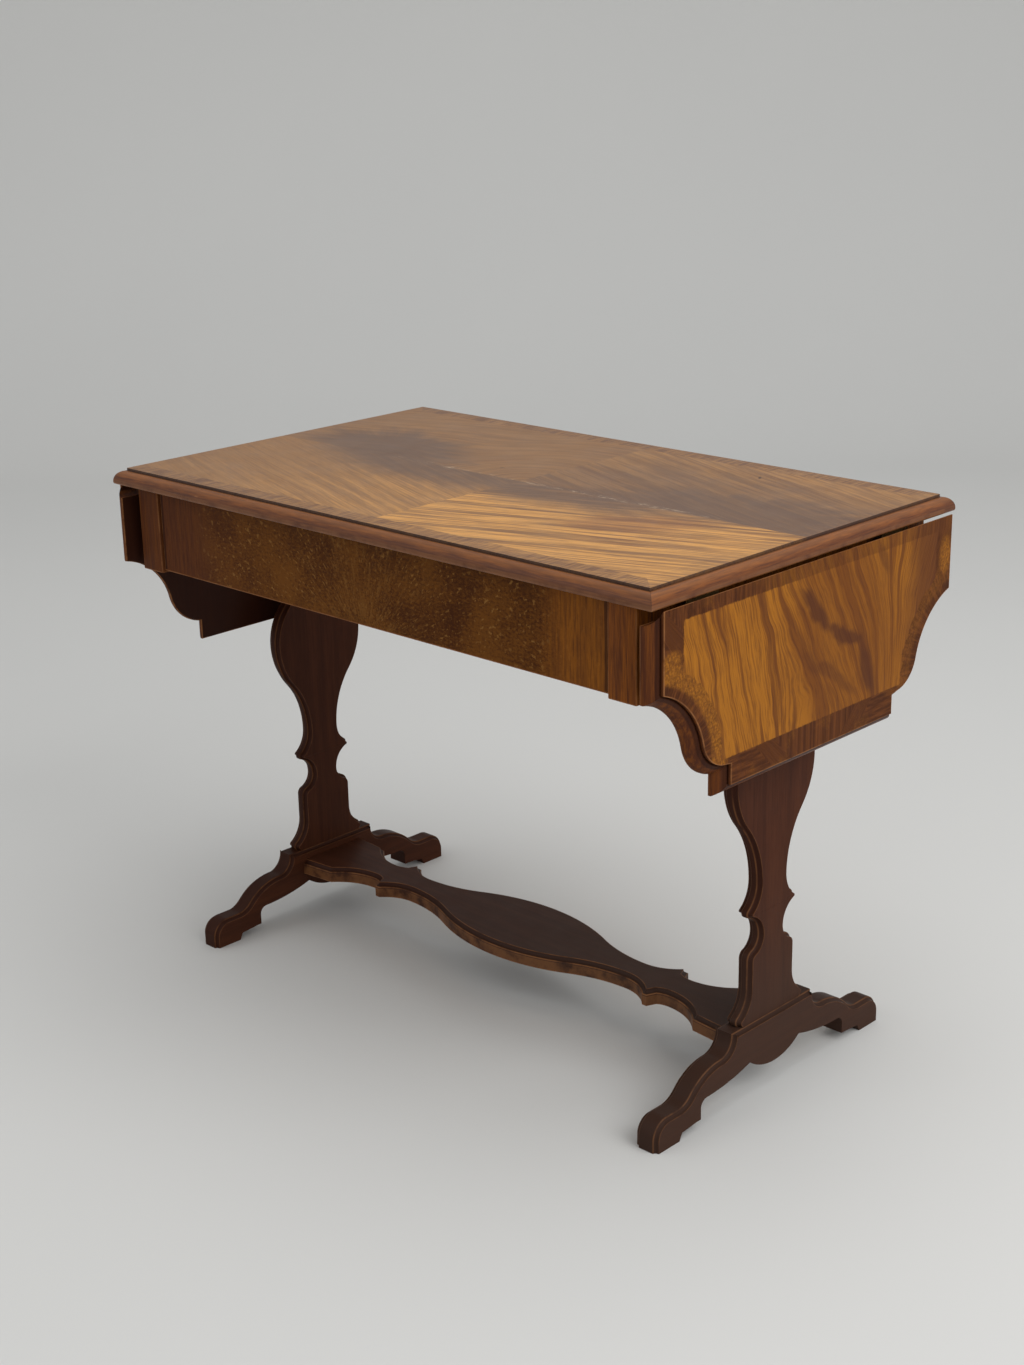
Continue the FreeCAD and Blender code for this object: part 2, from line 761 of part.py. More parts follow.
def drawer_bottom_panel():
    """The drawer bottom, which slides in from behind into grooves on three sides."""
    half = SIDE_INNER + D["groove_depth"]
    return box("drawer_bottom_panel", (-half, half), (DRAWER_FRONT_BACK - D["groove_depth"], DRAWER_END),
               (BOTTOM_LEVEL, BOTTOM_LEVEL + D["drawer_bottom"]))


def make_drawer():
    """The drawer box: front, sides let into the front, back and bottom."""
    side = box("drawer_side_blank", (SIDE_INNER, SIDE_OUTER),
               (DRAWER_FRONT_BACK - D["drawer_lap"], DRAWER_END), (SIDE_BOTTOM, SIDE_TOP))
    front = box("drawer_front_blank", (-DRAWER_HALF, DRAWER_HALF), (DRAWER_FACE, DRAWER_FRONT_BACK),
                (FRIEZE_BOTTOM, DRAWER_TOP))
    seats = (side, mirror("side_seat_left", side), drawer_bottom_panel())
    keep("drawer_front", cut("drawer_front", front, *seats))
    keep_pair("drawer_side", cut("drawer_side", side, drawer_bottom_panel()))
    keep("drawer_back", box("drawer_back", (-SIDE_INNER, SIDE_INNER),
                            (DRAWER_END - D["drawer_wall"], DRAWER_END),
                            (BOTTOM_LEVEL + D["drawer_bottom"], SIDE_TOP)))
    keep("drawer_bottom", drawer_bottom_panel())


def make_glue_blocks():
    """The blocks in the corner between the frieze and the top."""
    level = (TOP_UNDER - D["glue_block"], TOP_UNDER)
    blocks = []
    for sign in (-1, 1):
        right = box("end_block", (SPLAT_OUTER - D["glue_block"], SPLAT_OUTER),
                    around(D["end_block_spacing"] / 2 * sign, D["glue_block_length"]), level)
        blocks += [right, mirror("end_block_left", right)]
        blocks.append(box("rear_block", around(D["rear_block_spacing"] / 2 * sign, D["glue_block_length"]),
                          (DRAWER_END + D["rear_block_play"], FRIEZE_BACK), level))
    keep("glue_blocks", group("glue_block_set", *blocks))


def make_runners():
    """The ledges with side guides that carry the drawer, and the stops behind it."""
    run = (DRAWER_FRONT_BACK + D["drawer_side_play"], FRIEZE_BACK)
    ledge = box("runner_ledge_blank", (SIDE_INNER, POST_X), run,
                (RUNNER_TOP - D["runner_ledge"], RUNNER_TOP))
    guide = box("runner_guide", (SIDE_OUTER + D["guide_play"], POST_X), run,
                (RUNNER_TOP, RUNNER_TOP + D["guide_height"]))
    keep_pair("drawer_runner", fuse("drawer_runner", ledge, guide))
    stop = box("drawer_stop", (SIDE_INNER, SIDE_OUTER), (DRAWER_END + D["stop_play"], FRIEZE_BACK),
               (RUNNER_TOP, RUNNER_TOP + D["stop_height"]))
    keep("drawer_stops", group("drawer_stop_pair", stop, mirror("drawer_stop_left", stop)))


def splat_outline():
    """The vase-shaped trestle board, from its head behind the end rail to its toe."""
    toe_top = D["foot_seat_height"] + D["splat_toe_height"]
    base_start = toe_top + D["splat_flare_height"]
    base_end = base_start + D["splat_base_height"]
    step_level = base_end + D["splat_base_corner"]
    cove_level = step_level + D["splat_cove_height"]
    ear_start = cove_level + D["splat_cove_rise"]
    ear_end = ear_start + D["splat_ear_height"]
    neck_level = ear_end + D["splat_ear_rise"]
    vase_level = neck_level + D["splat_vase_height"]
    head = (D["splat_head_half"], vase_level + D["splat_shoulder_height"])
    vase = (D["splat_vase_half"], vase_level)
    neck = (D["splat_neck_half"], neck_level)
    ear_top = (D["splat_ear_half"], ear_end)
    ear = (D["splat_ear_half"], ear_start)
    cove = (D["splat_cove_half"], cove_level)
    step = ((D["splat_base_half"] + D["splat_cove_half"]) / 2, step_level)
    base_top = (D["splat_base_half"], base_end)
    base = (D["splat_base_half"], base_start)
    toe = (D["splat_toe_half"], toe_top)
    half = [
        corner(D["splat_head_half"], TOP_UNDER - D["splat_head_gap"]),
        bend(*head, quarter_radius(head, vase, False), False),
        *ogee(vase, neck, D["splat_vase_share"], False, False),
        bend(*neck, quarter_radius(neck, ear_top, False), True),
        corner(*ear_top),
        bend(*ear, quarter_radius(ear, cove, False), True),
        bend(*cove, quarter_radius(cove, step, False), True),
        bend(*step, quarter_radius(step, base_top, False), False),
        corner(*base_top),
        bend(*base, quarter_radius(base, toe, False), True),
        corner(*toe),
        corner(D["splat_toe_half"], D["foot_seat_height"]),
    ]
    return whole(half)


def foot_tenon(length):
    """The tenon under a trestle board, or its mortise in the foot."""
    return box("foot_tenon", around(TRESTLE_X, D["foot_tenon_thickness"]),
               around(size(0), D["foot_tenon_half"] * 2),
               (D["foot_seat_height"] - length, D["foot_seat_height"]))


def make_splats():
    """The two vase-shaped trestle boards with a tenon and screw holes."""
    body = new_body("splat_board")
    pad(body, "splat_pad", "YZ_Plane", splat_outline(), SPLAT_INNER, D["splat_thickness"])
    tenoned = fuse("splat_tenoned", body, foot_tenon(D["foot_tenon_depth"]))
    keep_pair("splat", cut("splat", tenoned, *splat_screws(1)))
    keep_pair("splat_screws", group("splat_screw_set", *splat_screws(0)))


def foot_outline():
    """The sled foot: seat, hump and toe above, pad, arch and pendant below."""
    tip = D["foot_length"] / 2
    valley_y = tip - D["foot_toe_length"]
    pad_y = tip - D["foot_pad_length"]
    cusp_y = pad_y - D["foot_heel_width"]
    arch_y = cusp_y - D["foot_cusp_width"]
    seat_end = (D["foot_seat_half"], D["foot_seat_height"])
    hump = (D["foot_seat_half"] + D["foot_cove_width"], D["foot_hump_height"])
    valley = (valley_y, D["foot_valley_height"])
    toe_top = (tip - D["foot_toe_inset"], D["foot_valley_height"])
    toe = (tip, D["foot_toe_height"])
    arch_low = (arch_y, D["foot_arch_height"] - D["foot_arch_radius"])
    arch_top = (arch_y - D["foot_arch_radius"], D["foot_arch_height"])
    pendant_side = (D["foot_pendant_half"], D["foot_pendant_rise"])
    pendant = (size(0), D["foot_pendant_height"])
    half = [
        bend(*seat_end, quarter_radius(seat_end, hump, True), True),
        *ogee(hump, valley, D["foot_slope_share"], True, False),
        corner(*valley),
        bend(*toe_top, quarter_radius(toe_top, toe, False), False),
        corner(*toe),
        corner(tip, size(0)),
        corner(pad_y, size(0)),
        corner(pad_y - D["foot_pad_rise"] / 2, D["foot_pad_rise"]),
        corner(cusp_y, D["foot_cusp_height"]),
        corner(arch_y, D["foot_cusp_height"]),
        bend(*arch_low, D["foot_arch_radius"], True),
        bend(*arch_top, quarter_radius(arch_top, pendant_side, True), False),
        bend(*pendant_side, quarter_radius(pendant_side, pendant, True), False),
    ]
    return whole(half)


def make_feet():
    """The two sled feet with a mortise for the trestle board and holes for the dowels."""
    body = new_body("foot_board")
    pad(body, "foot_pad", "YZ_Plane", foot_outline(), FOOT_INNER, D["foot_thickness"])
    keep_pair("foot", cut("foot", body, foot_tenon(D["foot_tenon_depth"]), *stretcher_dowels(1)))


def stretcher_outline():
    """The flat stretcher: belly, waist, ear, neck and flare, the same in all four quarters.

    The left half is the right half turned half way round.
    """
    flare_x = FOOT_INNER - D["stretcher_end_length"]
    neck_x = flare_x - D["flare_length"]
    ear_foot_x = neck_x - D["neck_length"]
    ear_end_x = ear_foot_x - D["ear_back"]
    ear_x = ear_end_x - D["ear_width"]
    belly = (size(0), D["belly_half"])
    waist = (ear_x - D["ear_run"], D["waist_half"])
    ear = (ear_x, D["ear_half"])
    ear_end = (ear_end_x, D["ear_half"])
    ear_foot = (ear_foot_x, D["ear_foot_half"])
    neck = (neck_x, D["neck_half"])
    flare = (flare_x, D["flare_half"])
    end = (FOOT_INNER, DOWEL_Y + D["dowel_radius"] + D["stretcher_end_margin"])
    quarter = [
        *ogee(belly, waist, D["belly_share"], True, False),
        bend(*waist, quarter_radius(waist, ear, True), True),
        corner(*ear),
        corner(*ear_end),
        bend(*ear_foot, quarter_radius(ear_foot, neck, True), True),
        bend(*neck, quarter_radius(neck, flare, True), True),
        corner(*flare),
        corner(*end),
    ]
    right = [*quarter, *mirrored(quarter, (1, -1))]
    return right + [(-x, -y, radius, left) for x, y, radius, left in right]


def stretcher_dowels(hole):
    """The dowels at the right-hand end of the stretcher, or their holes with some play."""
    play = D["pin_play"] * hole
    level = D["stretcher_top"] - D["stretcher_thickness"] / 2
    return [rod("stretcher_dowel", D["dowel_radius"] + play, D["dowel_length"],
                (FOOT_INNER - D["dowel_length"] / 2, DOWEL_Y * sign, level), "x")
            for sign in (-1, 1)]


def make_stretcher():
    """The stretcher board with its eased upper edge, and its dowels."""
    body = new_body("stretcher_board")
    board = pad(body, "stretcher_pad", "XY_Plane", stretcher_outline(),
                D["stretcher_top"] - D["stretcher_thickness"], D["stretcher_thickness"])
    top, end = board.Shape.BoundBox.ZMax, board.Shape.BoundBox.XMax
    ease(body, "stretcher_edge", "Chamfer", "Size", D["stretcher_chamfer"],
         lambda edge: edge.BoundBox.ZMin > top - NEAR and not (
             edge.BoundBox.XLength < NEAR and abs(abs(edge.BoundBox.XMin) - end) < NEAR))
    holes = fuse("dowel_holes", *stretcher_dowels(1))
    keep("stretcher", cut("stretcher", body, holes, mirror("dowel_holes_left", holes)))
    dowels = group("dowel_pair", *stretcher_dowels(0))
    keep("stretcher_dowels", group("dowel_set", dowels, mirror("dowel_pair_left", dowels)))


def make_props():
    """The props that hang behind the leaves and swing up to carry them."""
    pivot_x = END_RAIL_OUTER + D["prop_pivot_outset"]
    pivot_z = FRIEZE_BOTTOM + D["prop_pivot_rise"]
    radius = D["prop_thickness"] / 2
    reach = LEAF_INNER - HINGE_X + HINGE_Z - pivot_z - radius - D["prop_tip_gap"]
    # The raised prop leans outward at 45 degrees
    length = reach * math.sqrt(2)
    width = around(size(0), D["prop_width"])
    bar = box("prop_bar", around(pivot_x, D["prop_thickness"]), width, (pivot_z - length, pivot_z))
    ends = [rod("prop_end", radius, D["prop_width"], (pivot_x, width[0], level), "y")
            for level in (pivot_z, pivot_z - length)]
    reach_y = D["prop_width"] / 2 + D["prop_side_play"]
    pin_half = reach_y + D["prop_lug_width"]
    pin_start = (pivot_x, -pin_half, pivot_z)
    pin = rod("prop_pin", D["prop_pin_radius"], pin_half * 2, pin_start, "y")
    bore = rod("prop_bore", D["prop_pin_radius"] + D["pin_play"], pin_half * 2, pin_start, "y")
    keep_pair("prop", cut("prop", fuse("prop_blank", bar, *ends), bore))
    lug = box("prop_lug", (END_RAIL_OUTER, END_RAIL_OUTER + D["prop_lug_depth"]), (reach_y, pin_half),
              around(pivot_z, D["prop_lug_height"]))
    lugs = group("prop_lug_pair", lug, mirror("prop_lug_other", lug, "y"))
    keep_pair("prop_lugs", cut("prop_lugs_bored", lugs, bore))
    keep_pair("prop_pin", pin)


def check_and_write():
    """Stop on any failed object, then write one file for each piece."""
    doc.recompute()
    failed = [item.Label for item in doc.Objects if {"Invalid", "Error"} & set(item.State)]
    if failed:
        raise RuntimeError(f"failed objects: {failed}")
    for name, piece in NODES.items():
        if piece.Shape.isNull() or not piece.Shape.isValid() or not piece.Shape.Solids:
            raise RuntimeError(f"bad shape: {name}")
    os.makedirs("parts", exist_ok=True)
    for name, piece in NODES.items():
        piece.Shape.exportStep(f"parts/{name}.step")
        print(f"{name}: {len(piece.Shape.Solids)} solids, {piece.Shape.Volume:.0f} mm3")


make_top()
make_leaves()
make_hinges()
make_frieze()
make_drawer()
make_glue_blocks()
make_runners()
make_splats()
make_feet()
make_stretcher()
make_props()
check_and_write()
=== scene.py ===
"""Looks of a drop-leaf coffee table, laid out as an add-on around its packed frame.

Metres, in the frame of the part: X runs from leaf to leaf, the drawer opens towards -Y, Z is up.
"""

import json
import math

import bpy
import numpy as np
from mathutils import Matrix, Vector


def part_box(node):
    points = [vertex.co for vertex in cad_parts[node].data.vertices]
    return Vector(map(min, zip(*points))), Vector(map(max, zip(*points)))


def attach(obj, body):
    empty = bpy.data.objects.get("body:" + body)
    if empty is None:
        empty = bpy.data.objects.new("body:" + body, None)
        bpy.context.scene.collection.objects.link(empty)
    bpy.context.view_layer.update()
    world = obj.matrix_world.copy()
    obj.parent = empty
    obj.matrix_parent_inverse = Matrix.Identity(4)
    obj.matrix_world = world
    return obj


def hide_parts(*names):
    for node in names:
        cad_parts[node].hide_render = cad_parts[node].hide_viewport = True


bl_info = {
    "name": "Drop-leaf coffee table",
    "version": (1, 0, 0),
    "blender": (4, 5, 0),
    "location": "3D View > Sidebar > Table",
    "description": "Builds the moulded woodwork, finishes and stage of a drop-leaf coffee table",
    "category": "Object",
}

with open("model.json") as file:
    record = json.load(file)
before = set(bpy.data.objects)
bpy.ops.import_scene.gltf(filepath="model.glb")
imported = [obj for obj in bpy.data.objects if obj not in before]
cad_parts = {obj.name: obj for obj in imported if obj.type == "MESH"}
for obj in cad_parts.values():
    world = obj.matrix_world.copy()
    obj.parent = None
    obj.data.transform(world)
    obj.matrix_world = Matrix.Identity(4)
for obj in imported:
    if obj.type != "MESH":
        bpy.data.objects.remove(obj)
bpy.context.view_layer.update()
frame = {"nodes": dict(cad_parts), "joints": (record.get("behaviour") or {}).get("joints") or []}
MM = 0.001
# Even spacing of the points along a curved run of an outline
CURVE_STEP = 1.5 * MM
# Lengths, in metres, and shares that differ by less than this are equal
TINY = 1e-6
# Number of steps round a moulding's hollow or quarter round
MOULDING_STEPS = 9
# An outline is smooth where the normals on both sides of a point have at least this product
SMOOTH = 0.9
# Edges that turn by more than this are shaded as sharp
SHARP_TURN = math.radians(28)
# Width over which the wear of an arris fades out
WEAR_FADE = 0.8 * MM
# Wear of the moulding's lip, of the posts' upright arrises and of the stretcher's whole edge
LIP_WEAR = 0.6
POST_WEAR = 0.8
STRETCHER_WEAR = 0.6
# How far the trestle boards' inner faces lie behind their screws, so that the heads stay in sight
SCREW_SHOW = 0.05 * MM
# Place and width of each lamp, and the place that they all face
LAMPS = {
    "key": ((2.7, 0.1, 2.1), 2.2),
    "fill": ((-1.4, -2.8, 1.9), 2.0),
    "overhead": ((0.2, 0.3, 3.2), 2.6),
}
LAMP_AIM = (0, 0, 0.4)
SKY_COLOUR = (0.97, 0.985, 1, 1)
# Half the width, in millimetres, over which one sheet of the top's veneer gives way to the next
SEAM = 0.4
# Depth of the fine bump that the grain gives a surface
BUMP_DEPTH = 0.2 * MM


def length(name, default, description):
    """A length property whose default is given in millimetres."""
    return bpy.props.FloatProperty(name=name, description=description, default=default * MM,
                                   unit="LENGTH", precision=4)


def share(name, default, description):
    """A property between 0 and 1."""
    return bpy.props.FloatProperty(name=name, description=description, default=default,
                                   min=0, max=1, subtype="FACTOR")


def turn(name, default, description):
    """An angle property whose default is given in degrees."""
    return bpy.props.FloatProperty(name=name, description=description,
                                   default=math.radians(default), subtype="ANGLE")


def tint(name, default, description):
    """A colour property in linear values."""
    return bpy.props.FloatVectorProperty(name=name, description=description, default=default,
                                         size=3, min=0, max=1, subtype="COLOR")


class LeafSizes(bpy.types.PropertyGroup):
    """Outline and edge of a hanging leaf."""
    scoop_radius: length("Scoop radius", 83.5, "Radius of the hollow below each side")
    scoop_outset: length("Scoop outset", 25.5, "How far the scoop's centre lies outside the panel's side")
    scoop_drop: length("Scoop drop", 27, "How far the scoop's centre lies below the nose's")
    nose_radius: length("Nose radius", 35.5, "Radius of the round beside the tab")
    nose_inset: length("Nose inset", 5.5, "How far the tab's side lies inside the nose's centre")
    tab_height: length("Tab height", 22, "Height of the straight tab at the bottom")
    cove_radius: length("Cove radius", 14.79, "Radius of the hollow edge under the top's moulding")
    step: length("Step", 3, "Height of the raised face")
    bulge: length("Bulge", 1.1, "How far the edge's slope bows outward")
    quirk_width: length("Quirk width", 2.2, "Width of the groove beside the raised face")
    quirk_depth: length("Quirk depth", 1.6, "Depth of the groove beside the raised face")
    arris: length("Arris", 0.5, "Rounding of the face's edge")


class SplatSizes(bpy.types.PropertyGroup):
    """Outline of the vase-shaped trestle board, from the foot's seat upward."""
    toe_half: length("Toe half", 53, "Half width on the foot")
    toe_height: length("Toe height", 9, "Height of the straight toe")
    flare_height: length("Flare height", 27, "Height of the hollow above the toe")
    base_half: length("Base half", 36, "Half width of the base block")
    base_height: length("Base height", 30, "Height of the base block")
    base_corner: length("Base corner", 11, "Height of the base block's rounded shoulder")
    cove_half: length("Cove half", 18.5, "Half width at the narrowest place")
    cove_height: length("Cove height", 14, "Height from the shoulder to the narrowest place")
    cove_rise: length("Cove rise", 23, "Height from the narrowest place to the ear")
    ear_half: length("Ear half", 37.5, "Half width of the ear")
    ear_height: length("Ear height", 8, "Height of the ear")
    ear_rise: length("Ear rise", 25, "Height from the ear to the neck")
    neck_half: length("Neck half", 22.5, "Half width of the neck")
    vase_half: length("Vase half", 65, "Half width of the vase")
    vase_height: length("Vase height", 117, "Height from the neck to the vase's widest place")
    vase_share: share("Vase share", 0.45, "Share of the vase curve that bows outward")
    shoulder_height: length("Shoulder height", 54, "Height of the vase's shoulder")
    head_half: length("Head half", 38, "Half width of the head")
    hollow_width: length("Hollow width", 3.2, "Width of the hollow along the edges")
    hollow_depth: length("Hollow depth", 5, "Depth of the hollow along the edges")
    bead: length("Bead", 1.5, "Radius of the bead beside the hollow")
    bulge: length("Bulge", 2, "How far the ends of ears and toes bow outward")


class FootSizes(bpy.types.PropertyGroup):
    """Outline of the sled foot."""
    seat_half: length("Seat half", 66, "Half length of the seat under the trestle board")
    hump_height: length("Hump height", 60, "Height of the hump beside the seat")
    cove_width: length("Cove width", 18, "Length of the hollow beside the seat")
    slope_share: share("Slope share", 0.72, "Share of the slope that bows outward")
    valley_height: length("Valley height", 32, "Height of the toe")
    toe_length: length("Toe length", 37, "Length of the toe")
    toe_height: length("Toe height", 12, "Height of the toe's upright end")
    toe_inset: length("Toe inset", 22, "Length of the toe's rounded end")
    pad_length: length("Pad length", 35, "Length that rests on the floor")
    pad_rise: length("Pad rise", 8, "Step behind the part on the floor")
    heel_width: length("Heel width", 28, "Length from the floor to the cusp")
    cusp_width: length("Cusp width", 5, "Length of the cusp")
    cusp_height: length("Cusp height", 10, "Height of the cusp")
    arch_height: length("Arch height", 31, "Height of the arch")
    arch_radius: length("Arch radius", 9, "Radius of the arch's corner")
    pendant_half: length("Pendant half", 41, "Half length of the middle pendant")
    pendant_rise: length("Pendant rise", 41, "Height where the pendant starts")
    pendant_height: length("Pendant height", 27, "Height of the pendant's lowest place")
    hollow_width: length("Hollow width", 3.6, "Width of the hollow along the upper edges")
    hollow_depth: length("Hollow depth", 4.2, "Depth of the hollow along the upper edges")
    bead: length("Bead", 1.5, "Radius of the bead beside the hollow")


class StretcherSizes(bpy.types.PropertyGroup):
    """A quarter of the stretcher's outline, with lengths that run inward from the foot."""
    belly_half: length("Belly half", 55.5, "Half width in the middle")
    belly_share: share("Belly share", 0.58, "Share of the belly curve that bows outward")
    waist_half: length("Waist half", 18.5, "Half width at the waist")
    ear_run: length("Ear run", 37, "Length from the waist to the ear")
    ear_half: length("Ear half", 35, "Half width of the ear")
    ear_width: length("Ear width", 6, "Length of the ear")
    ear_back: length("Ear back", 5, "Length of the ear's back")
    ear_foot_half: length("Ear foot half", 24, "Half width behind the ear")
    neck_length: length("Neck length", 13, "Length from the ear's back to the neck")
    neck_half: length("Neck half", 20.5, "Half width of the neck")
    flare_length: length("Flare length", 52, "Length of the flare")
    flare_half: length("Flare half", 44, "Half width of the flare")
    end_length: length("End length", 44.75, "Length of the end beside the foot")
    end_half: length("End half", 48.5, "Half width at the foot")
    hollow_width: length("Hollow width", 4.6, "Width of the hollow along the upper edge")
    hollow_depth: length("Hollow depth", 4.6, "Depth of the hollow along the upper edge")
    bead: length("Bead", 1.5, "Radius of the bead beside the hollow")
    arris: length("Arris", 1, "Rounding of the lower edge")


class FriezeSizes(bpy.types.PropertyGroup):
    """Edges of the top's moulding, the posts and the drawer front."""
    lip_height: length("Lip height", 3, "Height of the moulding's upright lip")
    lip_arris: length("Lip arris", 2, "Rounding of the moulding's lower edge")
    fillet: length("Fillet", 1, "Flat strip between the panel and the moulding's round")
    step: length("Step", 3, "How far the panel stands above the moulding")
    post_arris: length("Post arris", 1.6, "Rounding of the posts' edges")
    drawer_arris: length("Drawer arris", 0.8, "Rounding of the drawer front's edges")


class WoodColours(bpy.types.PropertyGroup):
    """Colours of the woods and metals."""
    gold: tint("Gold", (0.68, 0.32, 0.07), "Light streaks of the top's veneer")
    straw: tint("Straw", (0.32, 0.15, 0.045), "Duller light streaks of the top's rear and left veneer")
    tan: tint("Tan", (0.235, 0.105, 0.03), "Middle tone of the top's veneer")
    heart: tint("Heart", (0.115, 0.058, 0.034), "Dark heartwood cloud of the top's veneer")
    scratch: tint("Scratch", (0.55, 0.42, 0.3), "Pale scratches along the top's seam")
    amber: tint("Amber", (0.37, 0.136, 0.0125), "Light stripes of the leaves' veneer")
    russet: tint("Russet", (0.165, 0.051, 0.008), "Dark stripes of the leaves' veneer")
    band: tint("Crossband", (0.13, 0.039, 0.008), "Crossbanding round the leaves")
    burr: tint("Burr", (0.15, 0.052, 0.007), "Middle tone of the drawer front")
    burr_deep: tint("Deep burr", (0.055, 0.015, 0.003), "Dark mottles of the drawer front")
    burr_light: tint("Burr light", (0.27, 0.125, 0.03), "Flecks of the drawer front")
    walnut: tint("Walnut", (0.262, 0.086, 0.0095), "Golden end of the drawer front")
    lipping: tint("Moulding", (0.22, 0.068, 0.014), "Light streaks of the mouldings round the top")
    lipping_deep: tint("Deep moulding", (0.095, 0.028, 0.01), "Dark streaks of the mouldings round the top")
    post: tint("Post", (0.25, 0.074, 0.0095), "Corner posts")
    # Also the painted shade on the lower part of the moulding round the top
    stain: tint("Stain", (0.075, 0.0225, 0.0095), "Dark stain of the trestles")
    # Also the painted shade in grooves, at steps, in corners and along the trestles' edges
    stain_deep: tint("Deep stain", (0.03, 0.009, 0.005), "Pores, grooves and dark edges")
    umber: tint("Umber", (0.05, 0.0145, 0.0065), "Dark streaks of the trestles")
    # Laid on more thickly towards the table's right end as painted light
    dust: tint("Dust", (0.048, 0.029, 0.021), "Dusty stain near the floor")
    # Also the painted highlight on the top panel's arris and the painted light on the moulding's upper part
    worn: tint("Worn wood", (0.32, 0.135, 0.05), "Wood that shows where the finish is rubbed off")
    bare: tint("Bare wood", (0.45, 0.3, 0.17), "Unfinished wood of the drawer's inside")
    prop: tint("Prop wood", (0.3, 0.16, 0.08), "Wood of the swinging props")
    brass: tint("Brass", (0.32, 0.22, 0.085), "Hinges")
    steel: tint("Steel", (0.45, 0.44, 0.42), "Screws and pins")


class StageSettings(bpy.types.PropertyGroup):
    """Floor, light and camera."""
    floor: tint("Floor", (0.66, 0.655, 0.635), "Colour of the floor and backdrop")
    sky: share("Sky", 0.56, "Strength of the even light from all sides")
    key: bpy.props.FloatProperty(name="Key light", description="Power of the lamp on the right",
                                 default=48, unit="POWER")
    fill: bpy.props.FloatProperty(name="Fill light", description="Power of the lamp at the front left",
                                  default=8, unit="POWER")
    overhead: bpy.props.FloatProperty(name="Overhead light", description="Power of the lamp above",
                                      default=28, unit="POWER")
    lens: bpy.props.FloatProperty(name="Lens", description="Focal length on a 36 mm frame",
                                  default=53.58, unit="CAMERA")
    yaw: turn("Yaw", 44.31, "Turn of the camera round the table")
    pitch: turn("Pitch", 18.49, "How far the camera looks down")
    roll: turn("Roll", -1.2, "Tilt of the camera about its view")
    eye: bpy.props.FloatVectorProperty(name="Eye", description="Place of the camera",
                                       default=(1.4581, -1.5047, 1.0584), subtype="TRANSLATION")


def corner(u, v):
    """An outline corner whose next run is straight."""
    return u, v, None, True


def bend(u, v, radius, left):
    """An outline corner whose next run is an arc that turns left or right."""
    return u, v, radius, left


def quarter_radius(start, end, level):
    """The radius of the arc between two points that is level, or upright, at one end."""
    across, along = end[0] - start[0], end[1] - start[1]
    return (across ** 2 + along ** 2) / (2 * abs(along if level else across))


def bow_radius(chord, rise):
    """The radius of the arc that rises by a length over the middle of a chord."""
    return (chord ** 2 / 4 + rise ** 2) / (2 * rise)


def ogee(start, end, middle_share, level, left):
    """The two corners of an S curve that is level, or upright, at both its ends."""
    middle = [start[k] + (end[k] - start[k]) * middle_share for k in range(2)]
    return [
        bend(*start, quarter_radius(start, middle, level), left),
        bend(*middle, quarter_radius(middle, end, level), not left),
    ]


def mirrored(run, flip):
    """A run of corners in a mirror, walked backwards and without the first one."""
    back = []
    for index in range(len(run) - 1, 0, -1):
        u, v = run[index][:2]
        back.append((u * flip[0], v * flip[1], *run[index - 1][2:]))
    return back


def whole(half):
    """A closed outline from its right half, listed from the top down."""
    return [*half, *mirrored(half, (-1, 1)), corner(-half[0][0], half[0][1])]


def free_runs(outline, held):
    """1 for each run of an outline, but 0 where both its ends are held, so that it has no moulding."""
    following = outline[1:] + outline[:1]
    return np.array([0.0 if held(*a[:2]) and held(*b[:2]) else 1.0 for a, b in zip(outline, following)])


def run_points(start, end, radius, left):
    """Points of one run without its end: a straight run has one, an arc follows its circle.

    Centre c lies on the chord's normal, and the points are c + r (cos a, sin a) in even steps of a.
    """
    start, end = np.array(start), np.array(end)
    if radius is None:
        return start[None]
    chord = end - start
    span = np.hypot(*chord)
    half_turn = math.asin(min(span / (2 * radius), 1))
    side = 1 if left else -1
    normal = np.array((-chord[1], chord[0])) / span
    centre = (start + end) / 2 + normal * side * radius * math.cos(half_turn)
    count = max(3, math.ceil(2 * half_turn * radius / CURVE_STEP))
    first = math.atan2(*(start - centre)[::-1])
    angle = first + side * 2 * half_turn * np.arange(count) / count
    return centre + radius * np.stack([np.cos(angle), np.sin(angle)], axis=1)


def trace(corners):
    """Points along a closed outline, counter-clockwise, and the run that leaves each of them."""
    points, runs = [], []
    for index, (u, v, radius, left) in enumerate(corners):
        end = corners[(index + 1) % len(corners)][:2]
        piece = run_points((u, v), end, radius, left)
        points.append(piece)
        runs.append(np.full(len(piece), index))
    points, runs = np.concatenate(points), np.concatenate(runs)
    following = np.roll(points, -1, axis=0)
    area = np.sum(points[:, 0] * following[:, 1] - following[:, 0] * points[:, 1])
    if area < 0:
        points, runs = points[::-1], np.roll(runs[::-1], -1)
    return points, runs


def inset_moves(points, weights):
    """For each outline point, the move that carries its two edges inward by their weights.

    With unit inward normals n and m and weights a and b it is the v with v.n = a and v.m = b.
    Along a smooth run, where n and m almost agree, it is the mean weight along their mean.
    """
    ahead = np.roll(points, -1, axis=0) - points
    ahead = ahead / np.linalg.norm(ahead, axis=1, keepdims=True)
    normal = np.stack([-ahead[:, 1], ahead[:, 0]], axis=1)
    before, weight_before = np.roll(normal, 1, axis=0), np.roll(weights, 1)
    agree = np.sum(normal * before, axis=1)
    mean = ((weights + weight_before) / 2 / (1 + np.maximum(agree, 0)))[:, None] * (normal + before)
    spread = np.maximum(1 - agree ** 2, TINY)
    first = ((weights - agree * weight_before) / spread)[:, None] * normal
    second = ((weight_before - agree * weights) / spread)[:, None] * before
    return np.where((agree > SMOOTH)[:, None], mean, first + second)


